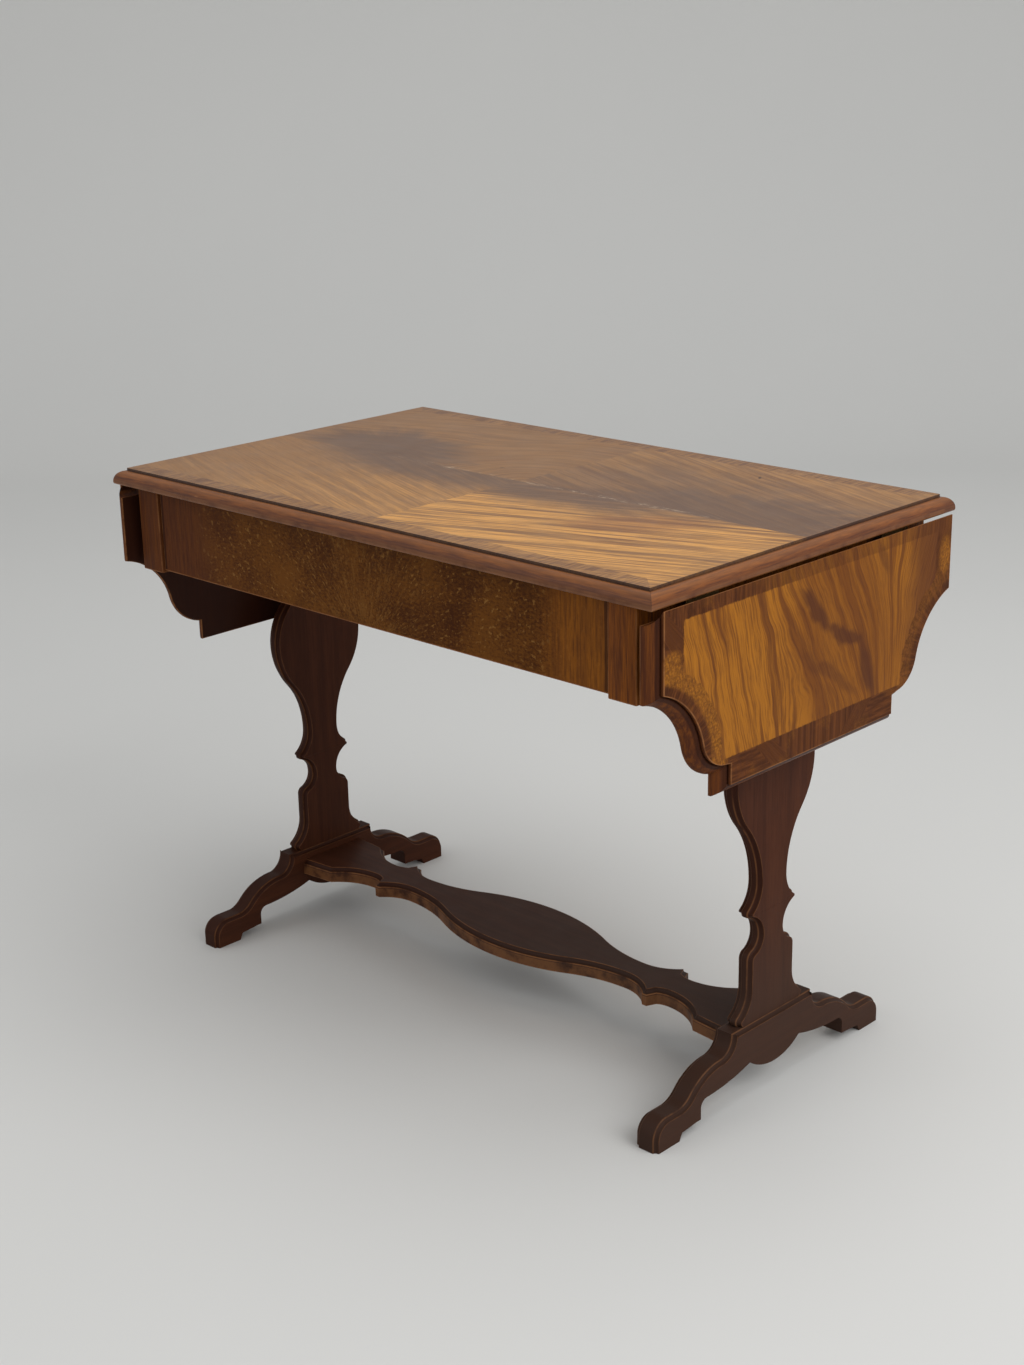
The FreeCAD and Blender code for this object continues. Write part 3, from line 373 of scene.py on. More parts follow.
def hollow(width, depth, bead):
    """Rows (inset, depth, wear) of a hollow and a bead from a face's arris to the edge.

    The hollow is a quarter ellipse: inset = bead + (width - bead) cos t, depth = depth sin t.
    The bead is a quarter circle: inset = bead (1 - sin t), depth = depth + bead (1 - cos t).
    """
    t = np.linspace(0, math.pi / 2, MOULDING_STEPS)
    cut = np.stack([bead + (width - bead) * np.cos(t), depth * np.sin(t), t == 0], axis=1)
    t = t[::2]
    rim = np.stack([bead * (1 - np.sin(t)), depth + bead * (1 - np.cos(t)), np.sin(2 * t)], axis=1)
    return np.vstack([cut, rim[1:]])


def quarter_round(radius):
    """Rows (inset, depth, wear) of a round from a face to the edge.

    A quarter circle about the point (r, r): inset = r (1 - sin t), depth = r (1 - cos t).
    """
    t = np.linspace(0, math.pi / 2, MOULDING_STEPS // 2)
    return np.stack([radius * (1 - np.sin(t)), radius * (1 - np.cos(t)), np.ones_like(t)], axis=1)


def face_rows(edge_rows, edge_wear=0):
    """A moulding's rows between two more on the face and on the edge, where its wear has faded."""
    inner = edge_rows[0] + (WEAR_FADE, 0, 0)
    outer = edge_rows[-1] + (0, WEAR_FADE, 0)
    inner[2], outer[2] = 0, edge_wear
    return np.vstack([inner, edge_rows, outer])


def board_rows(low, high, low_edge, high_edge, edge_wear=0):
    """Rows (inset, level, wear) from a board's low face round its edge to its high face."""
    lower = face_rows(low_edge, edge_wear) + (0, low, 0)
    upper = face_rows(high_edge, edge_wear)[::-1] * (1, -1, 1) + (0, high, 0)
    return np.vstack([lower, upper])


# How a board's own (u, v, level) lie in the table for boards across X, Y and Z
LAYOUTS = {
    "x": lambda u, v, w: (w, u, v),
    "y": lambda u, v, w: (u, -w, v),
    "z": lambda u, v, w: (u, v, w),
}


def board_rings(outline, rows, axis, weights=None):
    """Rings of a board: its outline moved inward row by row, at each row's level.

    point(i, k) = outline(i) + inset(k) move(i), so corners stay mitred.
    """
    points, runs = trace(outline)
    weight = np.ones(len(points)) if weights is None else np.asarray(weights, float)[runs]
    moves = inset_moves(points, weight)
    flat = points + rows[:, 0, None, None] * moves
    level = np.broadcast_to(rows[:, 1, None], flat.shape[:2])
    worn = rows[:, 2, None] * np.maximum(weight, np.roll(weight, 1))[None]
    return np.stack(LAYOUTS[axis](flat[..., 0], flat[..., 1], level), axis=-1), worn


def make_solid(name, rings, wear, left_hand=False):
    """A closed mesh of rings: quads between neighbours and one flat face at each end."""
    count, around = rings.shape[:2]
    index = np.arange(count * around).reshape(count, around)
    beside = np.roll(index, -1, axis=1)
    quads = np.stack([index[:-1], beside[:-1], beside[1:], index[1:]], axis=-1).reshape(-1, 4)
    ends = np.stack([index[0, ::-1], index[-1]])
    if left_hand:
        rings = rings * (-1, 1, 1)
        quads, ends = quads[:, ::-1], ends[:, ::-1]
    mesh = bpy.data.meshes.new(name)
    mesh.from_pydata(rings.reshape(-1, 3).tolist(), [], quads.tolist() + ends.tolist())
    mesh.attributes.new("wear", "FLOAT", "POINT").data.foreach_set("value", wear.ravel().astype(np.float32))
    mesh.polygons.foreach_set("use_smooth", np.ones(len(mesh.polygons), bool))
    mesh.set_sharp_from_angle(angle=SHARP_TURN)
    mesh.update()
    return mesh


def add_piece(name, mesh, body, node, slot, finish=None):
    """Put a finished mesh in the scene in place of its node, with its slot's finish or another."""
    piece = bpy.data.objects.new(name, mesh)
    bpy.context.scene.collection.objects.link(piece)
    piece.data.materials.append(finish_of(finish or slot))
    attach(piece, body)
    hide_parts(node)
    return piece


def dress_node(node, slot):
    """Give a node that stays as it is the finish of its slot."""
    piece = frame["nodes"][node]
    piece.data.materials.clear()
    piece.data.materials.append(finish_of(slot))


class Value:
    """A node's output on which arithmetic adds Math nodes."""

    def __init__(self, finish, socket):
        self.finish = finish
        self.socket = socket

    def __add__(self, other):
        return self.finish.math("ADD", self, other)

    def __sub__(self, other):
        return self.finish.math("SUBTRACT", self, other)

    def __rsub__(self, other):
        return self.finish.math("SUBTRACT", other, self)

    def __mul__(self, other):
        return self.finish.math("MULTIPLY", self, other)

    def __truediv__(self, other):
        return self.finish.math("DIVIDE", self, other)

    def __pow__(self, other):
        return self.finish.math("POWER", self, other)

    def __neg__(self):
        return self * -1

    def __abs__(self):
        return self.finish.math("ABSOLUTE", self)

    __radd__ = __add__
    __rmul__ = __mul__


class Finish:
    """A material whose nodes all come from one method."""

    def __init__(self, name):
        self.material = bpy.data.materials.new(f"{name}_finish")
        self.material.use_nodes = True
        self.tree = self.material.node_tree
        self.tree.nodes.clear()
        where = self.node("TexCoord", output="Object")
        scaled = self.node("VectorMath", {"operation": "SCALE"}, {0: where, "Scale": 1 / MM})
        apart = self.node("SeparateXYZ", {}, {0: scaled}).socket.node
        self.x, self.y, self.z = (Value(self, socket) for socket in apart.outputs)

    def node(self, kind, settings=None, inputs=None, output=0):
        """Add one node: its settings first, then the values or links of its sockets."""
        node = self.tree.nodes.new(f"ShaderNode{kind}")
        for name, setting in (settings or {}).items():
            setattr(node, name, setting)
        for name, value in (inputs or {}).items():
            if isinstance(value, Value):
                self.tree.links.new(value.socket, node.inputs[name])
            else:
                node.inputs[name].default_value = value
        return Value(self, node.outputs[output]) if node.outputs else node

    def math(self, operation, first, second=0.0):
        """A Math node on two values or numbers."""
        return self.node("Math", {"operation": operation}, {0: first, 1: second})

    def least(self, *values):
        """The smallest of several values."""
        least = values[0]
        for value in values[1:]:
            least = self.math("MINIMUM", least, value)
        return least

    def most(self, *values):
        """The largest of several values."""
        most = values[0]
        for value in values[1:]:
            most = self.math("MAXIMUM", most, value)
        return most

    def rise(self, value, low, high):
        """A soft step that is 0 up to low and 1 from high on."""
        return self.node("MapRange", {"interpolation_type": "SMOOTHSTEP"},
                         {"Value": value, "From Min": low, "From Max": high})

    def noise(self, along, across, depth, width, stretch=1, detail=3, roughness=0.5):
        """Noise of a width in millimetres, drawn out along the grain."""
        place = {0: along / (width * stretch), 1: across / width, 2: depth / width}
        vector = self.node("CombineXYZ", {}, place)
        inputs = {"Vector": vector, "Scale": 1, "Detail": detail, "Roughness": roughness}
        return self.node("TexNoise", {}, inputs)

    def blend(self, factor, first, second):
        """Two colours mixed by a factor."""
        # A Mix node takes its two colours in sockets 6 and 7 and gives the mixed one as output 2
        inputs = {0: factor}
        for index, colour in ((6, first), (7, second)):
            inputs[index] = colour if isinstance(colour, Value) else (*colour, 1)
        return self.node("Mix", {"data_type": "RGBA"}, inputs, 2)

    def oval(self, u, v, centre, radii, angle):
        """Places along and across an oval turned by an angle in degrees, as shares of its radii."""
        c, s = math.cos(math.radians(angle)), math.sin(math.radians(angle))
        du, dv = u - centre[0], v - centre[1]
        return (du * c + dv * s) / radii[0], (dv * c - du * s) / radii[1]

    def spot(self, u, v, centre, radii, angle=0):
        """A soft oval: 1 in its middle, 0 outside its radii."""
        along, across = self.oval(u, v, centre, radii, angle)
        return 1 - self.rise((along * along + across * across) ** 0.5, 0.35, 1)

    def plume(self, u, v, centre, radii, angle, fray):
        """A soft oval like spot's, with spikes of a share of its radius that point away from its middle."""
        along, across = self.oval(u, v, centre, radii, angle)
        reach = (along * along + across * across) ** 0.5 + 0.001
        spikes = self.noise(along / reach, across / reach, reach * 0.25, 0.16, detail=4, roughness=0.6)
        return 1 - self.rise(reach + (spikes - 0.5) * fray, 0.42, 1)

    def wear(self):
        """How far the finish is rubbed off a piece's arrises, from the piece's own attribute."""
        rubbed = self.node("Attribute", {"attribute_name": "wear"}, output="Fac")
        patches = self.noise(self.x, self.y, self.z, 22, detail=4, roughness=0.65)
        return rubbed * self.rise(patches, 0.26, 0.6)

    def done(self, colour, roughness, height, bump, shine, **sockets):
        """The shader: colour and roughness from values, a fine bump from the grain, an even shine."""
        relief = self.node("Bump", {}, {"Strength": bump, "Distance": BUMP_DEPTH, "Height": height})
        inputs = {"Base Color": colour, "Roughness": roughness, "Normal": relief,
                  "Specular IOR Level": shine, **sockets}
        shader = self.node("BsdfPrincipled", {}, inputs)
        self.node("OutputMaterial", {}, {"Surface": shader})
        return self.material


def colours():
    """The colour properties of the scene."""
    return bpy.context.scene.table_colours


def pores(finish, along, across, depth):
    """Fine dark pores, about half a millimetre wide and drawn out along the grain."""
    fine = finish.noise(along, across, depth, 0.55, stretch=22, detail=2)
    return finish.rise(fine, 0.55, 0.78)


def fibres(finish, along, across, depth):
    """Dark lines of the grain, about two millimetres wide."""
    line = finish.noise(along, across, depth, 1.7, stretch=14, detail=3, roughness=0.6)
    return finish.rise(line, 0.46, 0.64)


def half_sizes(node):
    """Half length and half width of a node that is centred on the table, in millimetres."""
    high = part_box(node)[1]
    return high[0] / MM, high[1] / MM


def top_grain(finish, x, y, rear):
    """Places along and across the grain of the top's veneer, which mirrors from quarter to quarter.

    The streaks run straight towards the long seam, but in the rear left quarter they arch round the middle.
    """
    a, b = abs(x), abs(y)
    slope = math.radians(20)
    sway = (finish.noise(a, b, finish.z, 180, detail=1) - 0.5) * 8
    straight = a * math.sin(slope) + b * math.cos(slope)
    arch = (a * a + b * b) ** 0.5
    arched = rear * finish.rise(-x, -SEAM, SEAM) * (1 - finish.rise(a, 60, 240))
    across = arch * arched + straight * (1 - arched) + sway
    along = a * math.cos(slope) - b * math.sin(slope)
    return along, across


def heart_cloud(finish, x, y, left, rear):
    """The dark heartwood cloud of the top, another shape in each quarter."""
    rear_left = finish.most(finish.plume(x, y, (-232, 22), (178, 118), -14, 0.8), 0.22)
    front_left = finish.plume(x, y, (-120, 6), (262, 96), -4, 0.5)
    front_right = finish.plume(x, y, (60, 6), (300, 92), 3, 0.5)
    rear_right = finish.most(finish.plume(x, y, (180, 20), (330, 205), -4, 0.7) * 0.6,
                             finish.plume(x, y, (255, 20), (300, 135), 8, 0.8))
    left_side = rear_left * rear + front_left * (1 - rear)
    right_side = rear_right * rear + front_right * (1 - rear)
    return left_side * left + right_side * (1 - left)


def top_border(finish, tone, x, field):
    """The field with a crossbanded border, its grain square to each edge, and the way in from the edge."""
    half_x, half_y = half_sizes("top_panel")
    border_width = 21
    to_end, to_side = half_x - abs(finish.x), half_y - abs(finish.y)
    edge = finish.least(to_end, to_side)
    on_end = finish.rise(to_side - to_end, -SEAM, SEAM)
    border = (1 - finish.rise(edge, border_width, border_width + 1.5)) * (0.7 - 0.55 * on_end)
    grain_u = finish.y * on_end + x * (1 - on_end)
    banded = finish.noise(edge, grain_u, finish.z, 3, stretch=14, detail=4, roughness=0.65)
    band = finish.blend(finish.rise(banded, 0.43, 0.58), tone.lipping_deep, tone.straw)
    return finish.blend(border, field, band), edge


def top_marks(finish, tone, x, field):
    """The field with seams, two burns and pale scratches along the long seam, and how far it is rubbed."""
    y, z = finish.y, finish.z
    seam = 1 - finish.rise(finish.least(abs(x), abs(y)), 0.15, 0.6)
    field = finish.blend(seam * 0.3, field, tone.heart)
    dashes = finish.rise(finish.noise(x, y, z, 2.4, stretch=6, detail=4, roughness=0.7), 0.54, 0.66)
    rubbed = dashes * (1 - finish.rise(abs(y - 2), 1.5, 7)) * (1 - finish.rise(abs(x - 40), 150, 290))
    field = finish.blend(rubbed * 0.75, field, tone.scratch)
    burn = finish.most(finish.spot(x, y, (186, 170), (7, 2.2), -58),
                       finish.spot(x, y, (-60, 36), (4, 1.4), 60))
    return finish.blend(burn * 0.9, field, tone.stain_deep), rubbed


def top_veneer():
    """Quarter-matched golden veneer with a dark heart cloud and a faint crossbanded border."""
    finish = Finish("top_veneer")
    tone = colours()
    # The cross seam lies a little to the right of the middle
    x, y, z = finish.x - 6, finish.y, finish.z
    left, rear = finish.rise(-x, -SEAM, SEAM), finish.rise(y, -SEAM, SEAM)
    along, across = top_grain(finish, x, y, rear)
    depth = z + left * 40 + rear * 90
    ribbon = finish.noise(along, across, depth, 9, stretch=26, detail=3, roughness=0.55)
    stripe = finish.noise(along, across, depth, 2.6, stretch=44, detail=3, roughness=0.6)
    # The streaks are calmer in the front left quarter and duller there and in the rear
    calm = left * (1 - rear)
    light = finish.rise(ribbon * 0.5 + stripe * 0.5, 0.4 - 0.08 * calm, 0.58 + 0.08 * calm)
    dull = calm * (0.5 + 0.45 * finish.rise(-x, 60, 300)) + rear * (0.8 + 0.15 * left)
    field = finish.blend(light, tone.tan, finish.blend(dull, tone.gold, tone.straw))
    lines = finish.rise(finish.noise(along, across, depth + 20, 6, stretch=20, detail=3), 0.54, 0.64)
    field = finish.blend(lines * (0.45 - 0.25 * calm), field, tone.russet)
    # Heart cloud with darker streaks along the grain, and a red patch beside it
    cloud = heart_cloud(finish, x, y, left, rear)
    streak = finish.noise(along, across, depth, 5, stretch=14, detail=4, roughness=0.6)
    field = finish.blend(cloud * (0.68 + 0.62 * (streak - 0.25)), field, tone.heart)
    red = finish.plume(x, y, (215, -62), (95, 42), 36, 0.6) * (1 - rear)
    field = finish.blend(red * 0.5, field, tone.lipping)
    field, edge = top_border(finish, tone, x, field)
    field, rubbed = top_marks(finish, tone, x, field)
    pore, line = pores(finish, along, across, z), fibres(finish, along, across, depth)
    field = finish.blend(finish.most(pore * 0.35, line * 0.3), field, tone.heart)
    # The standing edge of the panel is darkened as painted shade in the step
    side = 1 - finish.rise(edge, 0.05, 0.3)
    field = finish.blend(side * 0.85, field, tone.stain_deep)
    # Its arris is lightened as rubbed wear together with a painted highlight
    arris = (1 - finish.rise(abs(edge - 0.8), 0.3, 0.9)) * finish.rise(finish.noise(x, y, z, 18), 0.45, 0.6)
    field = finish.blend(arris * 0.45, field, tone.worn)
    roughness = 0.33 + 0.14 * finish.noise(x, y, z, 45, detail=3) + 0.1 * rubbed
    return finish.done(field, roughness, stripe - pore * 0.4, 0.16, 0.44)


def leaf_field(finish, tone, y, z, high):
    """The leaf's field: leaning golden stripes, a slanting dark figure and lines that close to a V.

    A stripe that starts at y on the hinge edge has moved by lean(y) times its way down the leaf.
    """
    down = (high - z) / 150
    sway = (finish.noise(y, z, finish.x, 70, detail=2) - 0.5) * 22
    middle = finish.spot(y, z, (45, 480), (125, 175), 20)
    lean = 36 + 40 * middle - 85 * finish.rise(y, 80, 160)
    across = y - lean * down + sway
    ribbon = finish.noise(z, across, finish.x, 13, stretch=12, detail=3, roughness=0.5)
    stripe = finish.noise(z, across, finish.x + 30, 2.4, stretch=36, detail=3, roughness=0.6)
    field = finish.blend(finish.rise(ribbon * 0.4 + stripe * 0.6, 0.32, 0.58), tone.russet, tone.amber)
    lines = finish.rise(finish.noise(z, across, finish.x + 90, 12, stretch=26, detail=3), 0.55, 0.63)
    field = finish.blend(lines * 0.8, field, tone.band)
    field = finish.blend(middle * 0.6, field, tone.russet)
    field = finish.blend(finish.rise(y + sway, 130, 175) * 0.8, field, tone.lipping_deep)
    # The dark figure: slanting strokes that flow into each other
    wavy_y, wavy_z = y + sway * 0.5, z + (finish.noise(y, z, finish.x, 30, detail=3) - 0.5) * 26
    figure = finish.most(finish.spot(wavy_y, wavy_z, (-4, 513), (52, 11), -47),
                         finish.spot(wavy_y, wavy_z, (46, 479), (52, 11), -24),
                         finish.spot(wavy_y, wavy_z, (84, 438), (54, 13), -71),
                         finish.spot(wavy_y, wavy_z, (22, 446), (72, 10), -34) * 0.6,
                         finish.spot(wavy_y, wavy_z, (106, 546), (34, 8), -66) * 0.7)
    field = finish.blend(figure * (0.4 + 0.75 * stripe), field, tone.stain)
    return field, across, stripe


def leaf_band(finish, tone, y, z, centre, radius):
    """Crossbanding: short grain square to the nearest edge, with worn golden mottles beside the scoops."""
    away = ((abs(y) - centre[0]) ** 2 + (z - centre[1]) ** 2) ** 0.5 - radius
    bearing = finish.math("ARCTAN2", z - centre[1], centre[0] - abs(y)) * radius
    by_scoop = 1 - finish.rise(away, 26, 36)
    # The grain of the sides meets that of the hinge edge along a diagonal
    by_side = finish.rise(abs(y) - z, -340, -310)
    short = z * by_side + y * (1 - by_side)
    short = bearing * by_scoop + short * (1 - by_scoop)
    banded = finish.noise(away, short, finish.x, 3.4, stretch=9, detail=4, roughness=0.65)
    band = finish.blend(finish.rise(banded, 0.36, 0.66), tone.burr_deep, tone.band)
    mottle = finish.noise(y, z, finish.x, 2.6, detail=5, roughness=0.7)
    golden = finish.most(finish.rise(away, 7, 13) * by_scoop * (0.3 + 0.7 * finish.rise(-y, -20, 20)),
                         finish.spot(y, z, (-214, 517), (18, 11)), finish.spot(y, z, (215, 523), (15, 28)),
                         finish.rise(finish.noise(y, z, finish.x, 30, detail=3), 0.56, 0.7) * 0.2)
    band = finish.blend(golden * (0.25 + 0.6 * finish.rise(mottle, 0.36, 0.66)), band, tone.amber)
    return band, away, mottle


def leaf_solid(finish, tone, field, low, high):
    """The field on a leaf's face, and stained solid wood on its moulded edge, its groove and its back."""
    x, y, z = finish.x, finish.y, finish.z
    sizes = bpy.context.scene.table_leaf
    back_level, face = low[0] / MM, high[0] / MM
    on_face = finish.rise(abs(x), face - 0.9, face - 0.3)
    solid_grain = finish.noise(z, y, x, 4, stretch=14, detail=4, roughness=0.65)
    solid = finish.blend(finish.rise(solid_grain, 0.38, 0.7) * 0.5, tone.stain, tone.post)
    back = 1 - finish.rise(abs(x) - back_level, 0.2, 0.8)
    solid = finish.blend(back * 0.95, solid, tone.stain_deep)
    field = finish.blend(on_face, solid, field)
    # Painted shade in the groove beside the raised face
    groove = face - (sizes.step + sizes.quirk_depth) / MM
    quirk = 1 - finish.rise(abs(abs(x) - groove), 0.8, 2.2)
    return finish.blend(quirk * 0.8, field, tone.stain_deep)


def leaf_veneer():
    """Striped golden veneer with a dark figure and a mottled red-brown crossbanded border."""
    finish = Finish("leaf_veneer")
    tone = colours()
    sizes = bpy.context.scene.table_leaf
    x, y, z = finish.x, finish.y, finish.z
    low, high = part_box("leaf_right")
    scoop = leaf_centres(sizes, low, high, leaf_ovolo())[0]
    top = high[2] / MM
    field, across, stripe = leaf_field(finish, tone, y, z, top)
    centre, radius = (scoop[0] / MM, scoop[1] / MM), sizes.scoop_radius / MM
    band, away, mottle = leaf_band(finish, tone, y, z, centre, radius)
    ragged = (finish.noise(y, z, x, 12, detail=4, roughness=0.65) - 0.5) * 10
    # Half width and lowest level of the field, and the bands below the hinge edge and beside the scoops
    field_half, field_low, hinge_band, scoop_band = 198, 405, 13, 25
    inside = finish.least(field_half - abs(y) + ragged * 0.4, top - hinge_band - z + ragged * 0.2,
                          z - field_low, away - scoop_band + ragged)
    inside = inside + (mottle - 0.5) * 3
    # The band along the hinge edge fades into the field towards the rear
    faded = 0.55 * finish.rise(z, top - 22, top - 12) * finish.rise(y, -130, 10)
    field = finish.blend((1 - finish.rise(inside, -0.8, 0.8)) * (1 - faded), field, band)
    pore, line = pores(finish, z, across, x), fibres(finish, z, across, x)
    field = finish.blend(finish.most(pore * 0.35, line * 0.42), field, tone.stain)
    field = leaf_solid(finish, tone, field, low, high)
    field = finish.blend(finish.wear() * 0.8, field, tone.worn)
    roughness = 0.38 + 0.14 * finish.noise(y, z, x, 40, detail=3)
    return finish.done(field, roughness, stripe - pore * 0.4, 0.16, 0.07)


def frieze_burr(finish, tone, foot_level):
    """The frieze's mottled burr with a feather in the middle and light flecks, and the mottles alone.

    The feather's grain fans out from a point under the middle of the frieze.
    """
    x, y, z = finish.x, finish.y, finish.z
    cloud = finish.noise(x, z, y, 60, detail=3)
    mottle = finish.noise(x, z, y, 2.6, stretch=1.6, detail=5, roughness=0.75)
    field = finish.blend(finish.rise(mottle * 0.6 + cloud * 0.4, 0.38, 0.62), tone.burr_deep, tone.burr)
    base = foot_level - 30
    fan = finish.math("ARCTAN2", abs(x), z - base) * 70
    reach = (x * x + (z - base) ** 2) ** 0.5
    feather = finish.noise(reach, fan + (mottle - 0.5) * 10, y, 2.4, stretch=14, detail=4, roughness=0.65)
    middle = 1 - finish.rise(abs(x), 30, 130)
    field = finish.blend(finish.rise(feather, 0.5, 0.68) * middle * 0.38, field, tone.burr_light)
    field = finish.blend((1 - finish.rise(feather, 0.34, 0.46)) * middle * 0.4, field, tone.burr_deep)
    # The flecks are drawn out along the fan
    flecks = finish.rise(finish.noise(reach, fan, y, 1.7, stretch=4, detail=2, roughness=0.6), 0.58, 0.68)
    patch = 0.5 + 0.5 * finish.rise(finish.noise(x, z, y + 50, 45, detail=3), 0.42, 0.6)
    return finish.blend(flecks * patch * 0.75, field, tone.burr_light), mottle


def frieze_ends(finish, tone, field, mottle, half_length):
    """The field with upright grain at its ends, dark on the left and golden on the right, and their place."""
    x, y, z = finish.x, finish.y, finish.z
    upright = finish.noise(z, x, y, 4, stretch=18, detail=4, roughness=0.6)
    plain = finish.blend(finish.rise(upright, 0.36, 0.64), tone.stain, tone.band)
    golden = finish.rise(x, 200, 270) * (0.6 + 0.4 * finish.rise(upright, 0.42, 0.6))
    plain = finish.blend(golden, plain, tone.walnut)
    ends = finish.rise(abs(x) + (mottle - 0.5) * 50, half_length - 95, half_length - 50)
    field = finish.blend(ends * 0.85, field, plain)
    return finish.blend(finish.rise(-x, 120, 330) * 0.55, field, tone.lipping_deep), ends


def frieze_veneer():
    """Fine-mottled burr veneer with a feathered middle and plain upright grain at its ends."""
    finish = Finish("frieze_veneer")
    tone = colours()
    x, y, z = finish.x, finish.y, finish.z
    low, high = (np.array(place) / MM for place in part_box("drawer_front"))
    field, mottle = frieze_burr(finish, tone, low[2])
    field, ends = frieze_ends(finish, tone, field, mottle, high[0])
    pore, line = pores(finish, z, x, y), fibres(finish, z, x, y) * ends
    field = finish.blend(finish.most(pore * 0.35, line * 0.4), field, tone.stain_deep)
    # Painted shade in the corners beside the posts, as wide as the posts stand proud
    proud = low[1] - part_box("post_front_right")[0][1] / MM
    post_corner_shade = finish.rise(abs(x), high[0] - proud - 2.6, high[0] - proud - 1)
    post_corner_shade = post_corner_shade * (1 - finish.rise(abs(x), high[0] + 1, high[0] + 2))
    field = finish.blend(post_corner_shade * 0.75, field, tone.stain_deep)
    foot = 1 - finish.rise(z, low[2] + 1.4, low[2] + 2.2)
    field = finish.blend(foot * 0.7, field, tone.band)
    field = finish.blend(finish.wear() * 0.6, field, tone.worn)
    roughness = 0.42 + 0.16 * mottle
    return finish.done(field, roughness, mottle - pore * 0.4, 0.14, 0.05)


def board_edge_shade_dust_and_light(finish, tone, field, node, through):
    """The field with dark edges between a board's two faces, which lie across an axis, and with dust.

    The dust is thicker towards the floor and towards the table's right end.
    """
    low, high = (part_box(node)[end]["xyz".index(through)] / MM for end in (0, 1))
    level, half = abs(getattr(finish, through)) - (low + high) / 2, (high - low) / 2
    # Painted shade on the edges between the two faces and in their hollows
    edge = 1 - finish.rise(abs(level), half - 1.4, half - 0.4)
    field = finish.blend(edge * 0.75, field, tone.stain_deep)
    # Dust near the floor, laid on more thickly towards the lit right end as painted light
    dust_and_painted_light = (1 - finish.rise(finish.z, 60, 260)) * (0.1 + 0.5 * finish.rise(finish.x, -250, 200))
    return finish.blend(dust_and_painted_light, field, tone.dust)


def plain_grain(name, axis, deep, light, roughness, worn=0, width=6, board=None, shine=0.06):
    """Solid wood with its grain along one axis and rubbed arrises.

    A stained board is given as its node and the axis through its thickness.
    """
    finish = Finish(name)
    tone = colours()
    along, across, depth = {"x": (finish.x, finish.y, finish.z), "y": (finish.y, finish.z, finish.x),
                            "z": (finish.z, finish.x, finish.y)}[axis]
    sway = finish.noise(along, across, depth, 90, stretch=3, detail=2) * 14
    broad = finish.noise(along, across + sway, depth, width * 2, stretch=20, detail=4, roughness=0.6)
    fine = finish.noise(along, across + sway, depth, width * 0.45, stretch=30, detail=3, roughness=0.6)
    streaks = finish.rise(broad * 0.55 + fine * 0.45, 0.36, 0.64)
    field = finish.blend(streaks, getattr(tone, deep), getattr(tone, light))
    pore, line = pores(finish, along, across, depth), fibres(finish, along, across + sway, depth)
    field = finish.blend(finish.most(pore * 0.35, line * 0.3), field, tone.stain_deep)
    if board:
        field = board_edge_shade_dust_and_light(finish, tone, field, *board)
    if worn:
        field = finish.blend(finish.wear() * worn, field, tone.worn)
    gloss = roughness + 0.16 * finish.noise(along, across, depth, 30, detail=3)
    return finish.done(field, gloss, fine - pore * 0.5, 0.2, shine)


def lipping_wood():
    """Red-brown moulding with its grain along each strip, dark mitres and two chips in front."""
    finish = Finish("lipping")
    tone = colours()
    x, y, z = finish.x, finish.y, finish.z
    half_x, half_y = half_sizes("top_panel")
    out_x, out_y = abs(x) - half_x, abs(y) - half_y
    on_end = finish.rise(out_x - out_y, -0.1, 0.1)
    along = y * on_end + x * (1 - on_end)
    across = finish.most(out_x, out_y)
    broad = finish.noise(along, across + z, z, 5, stretch=10, detail=4, roughness=0.6)
    fine = finish.noise(along, across + z, z, 1.4, stretch=16, detail=3)
    field = finish.blend(finish.rise(broad * 0.5 + fine * 0.5, 0.36, 0.64), tone.lipping_deep, tone.lipping)
    pore = pores(finish, along, across + z, z)
    field = finish.blend(pore * 0.45, field, tone.stain_deep)
    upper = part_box("top_lipping_front")[1][2] / MM
    # Painted light: the moulding's upper part is lighter, as if lit from above, and its lower part darker, as
    # if in shade
    field = finish.blend((1 - finish.rise(upper - z, 2, 6)) * 0.3, field, tone.worn)
    field = finish.blend(finish.rise(upper - z, 4, 11) * 0.65, field, tone.stain)
    # Painted shade at the moulding's root, in the crease under the panel's step
    root_shade = 1 - finish.rise(across, 0.6, 1.8)
    field = finish.blend(root_shade * 0.75, field, tone.stain_deep)
    mitre = 1 - finish.rise(abs(out_x - out_y), 0.1, 0.5)
    mitre = mitre * finish.rise(finish.least(out_x, out_y), -0.5, 0)
    field = finish.blend(mitre * 0.6, field, tone.stain_deep)
    field = finish.blend(finish.wear() * 0.5, field, tone.worn)
    chips = finish.most(finish.spot(x, z, (-66, 569), (7, 1.6)), finish.spot(x, z, (-240, 572), (4, 1.2)))
    chips = chips * finish.rise(-y, half_y, half_y + 2) * finish.rise(broad, 0.35, 0.6)
    field = finish.blend(chips * 0.6, field, tone.worn)
    roughness = 0.24 + 0.14 * finish.noise(along, across, z, 26, detail=3)
    return finish.done(field, roughness, fine - pore * 0.5, 0.2, 0.27)


def dull_metal(name, colour, metal_roughness):
    """Old metal with a brushed grain and brown tarnish."""
    finish = Finish(name)
    tone = colours()
    x, y, z = finish.x, finish.y, finish.z
    brushed = finish.noise(y, x, z, 0.6, stretch=14, detail=3)
    tarnish = finish.rise(finish.noise(x, y, z, 9, detail=5, roughness=0.65), 0.45, 0.72)
    field = finish.blend(tarnish * 0.7 + 0.2, getattr(tone, colour), tone.stain)
    roughness = metal_roughness + 0.2 * brushed + 0.2 * tarnish
    return finish.done(field, roughness, brushed, 0.1, 0.5, Metallic=0.95)


VENEERS = {
    "top_veneer": top_veneer,
    "leaf_veneer": leaf_veneer,
    "frieze_veneer": frieze_veneer,
    "lipping": lipping_wood,
}
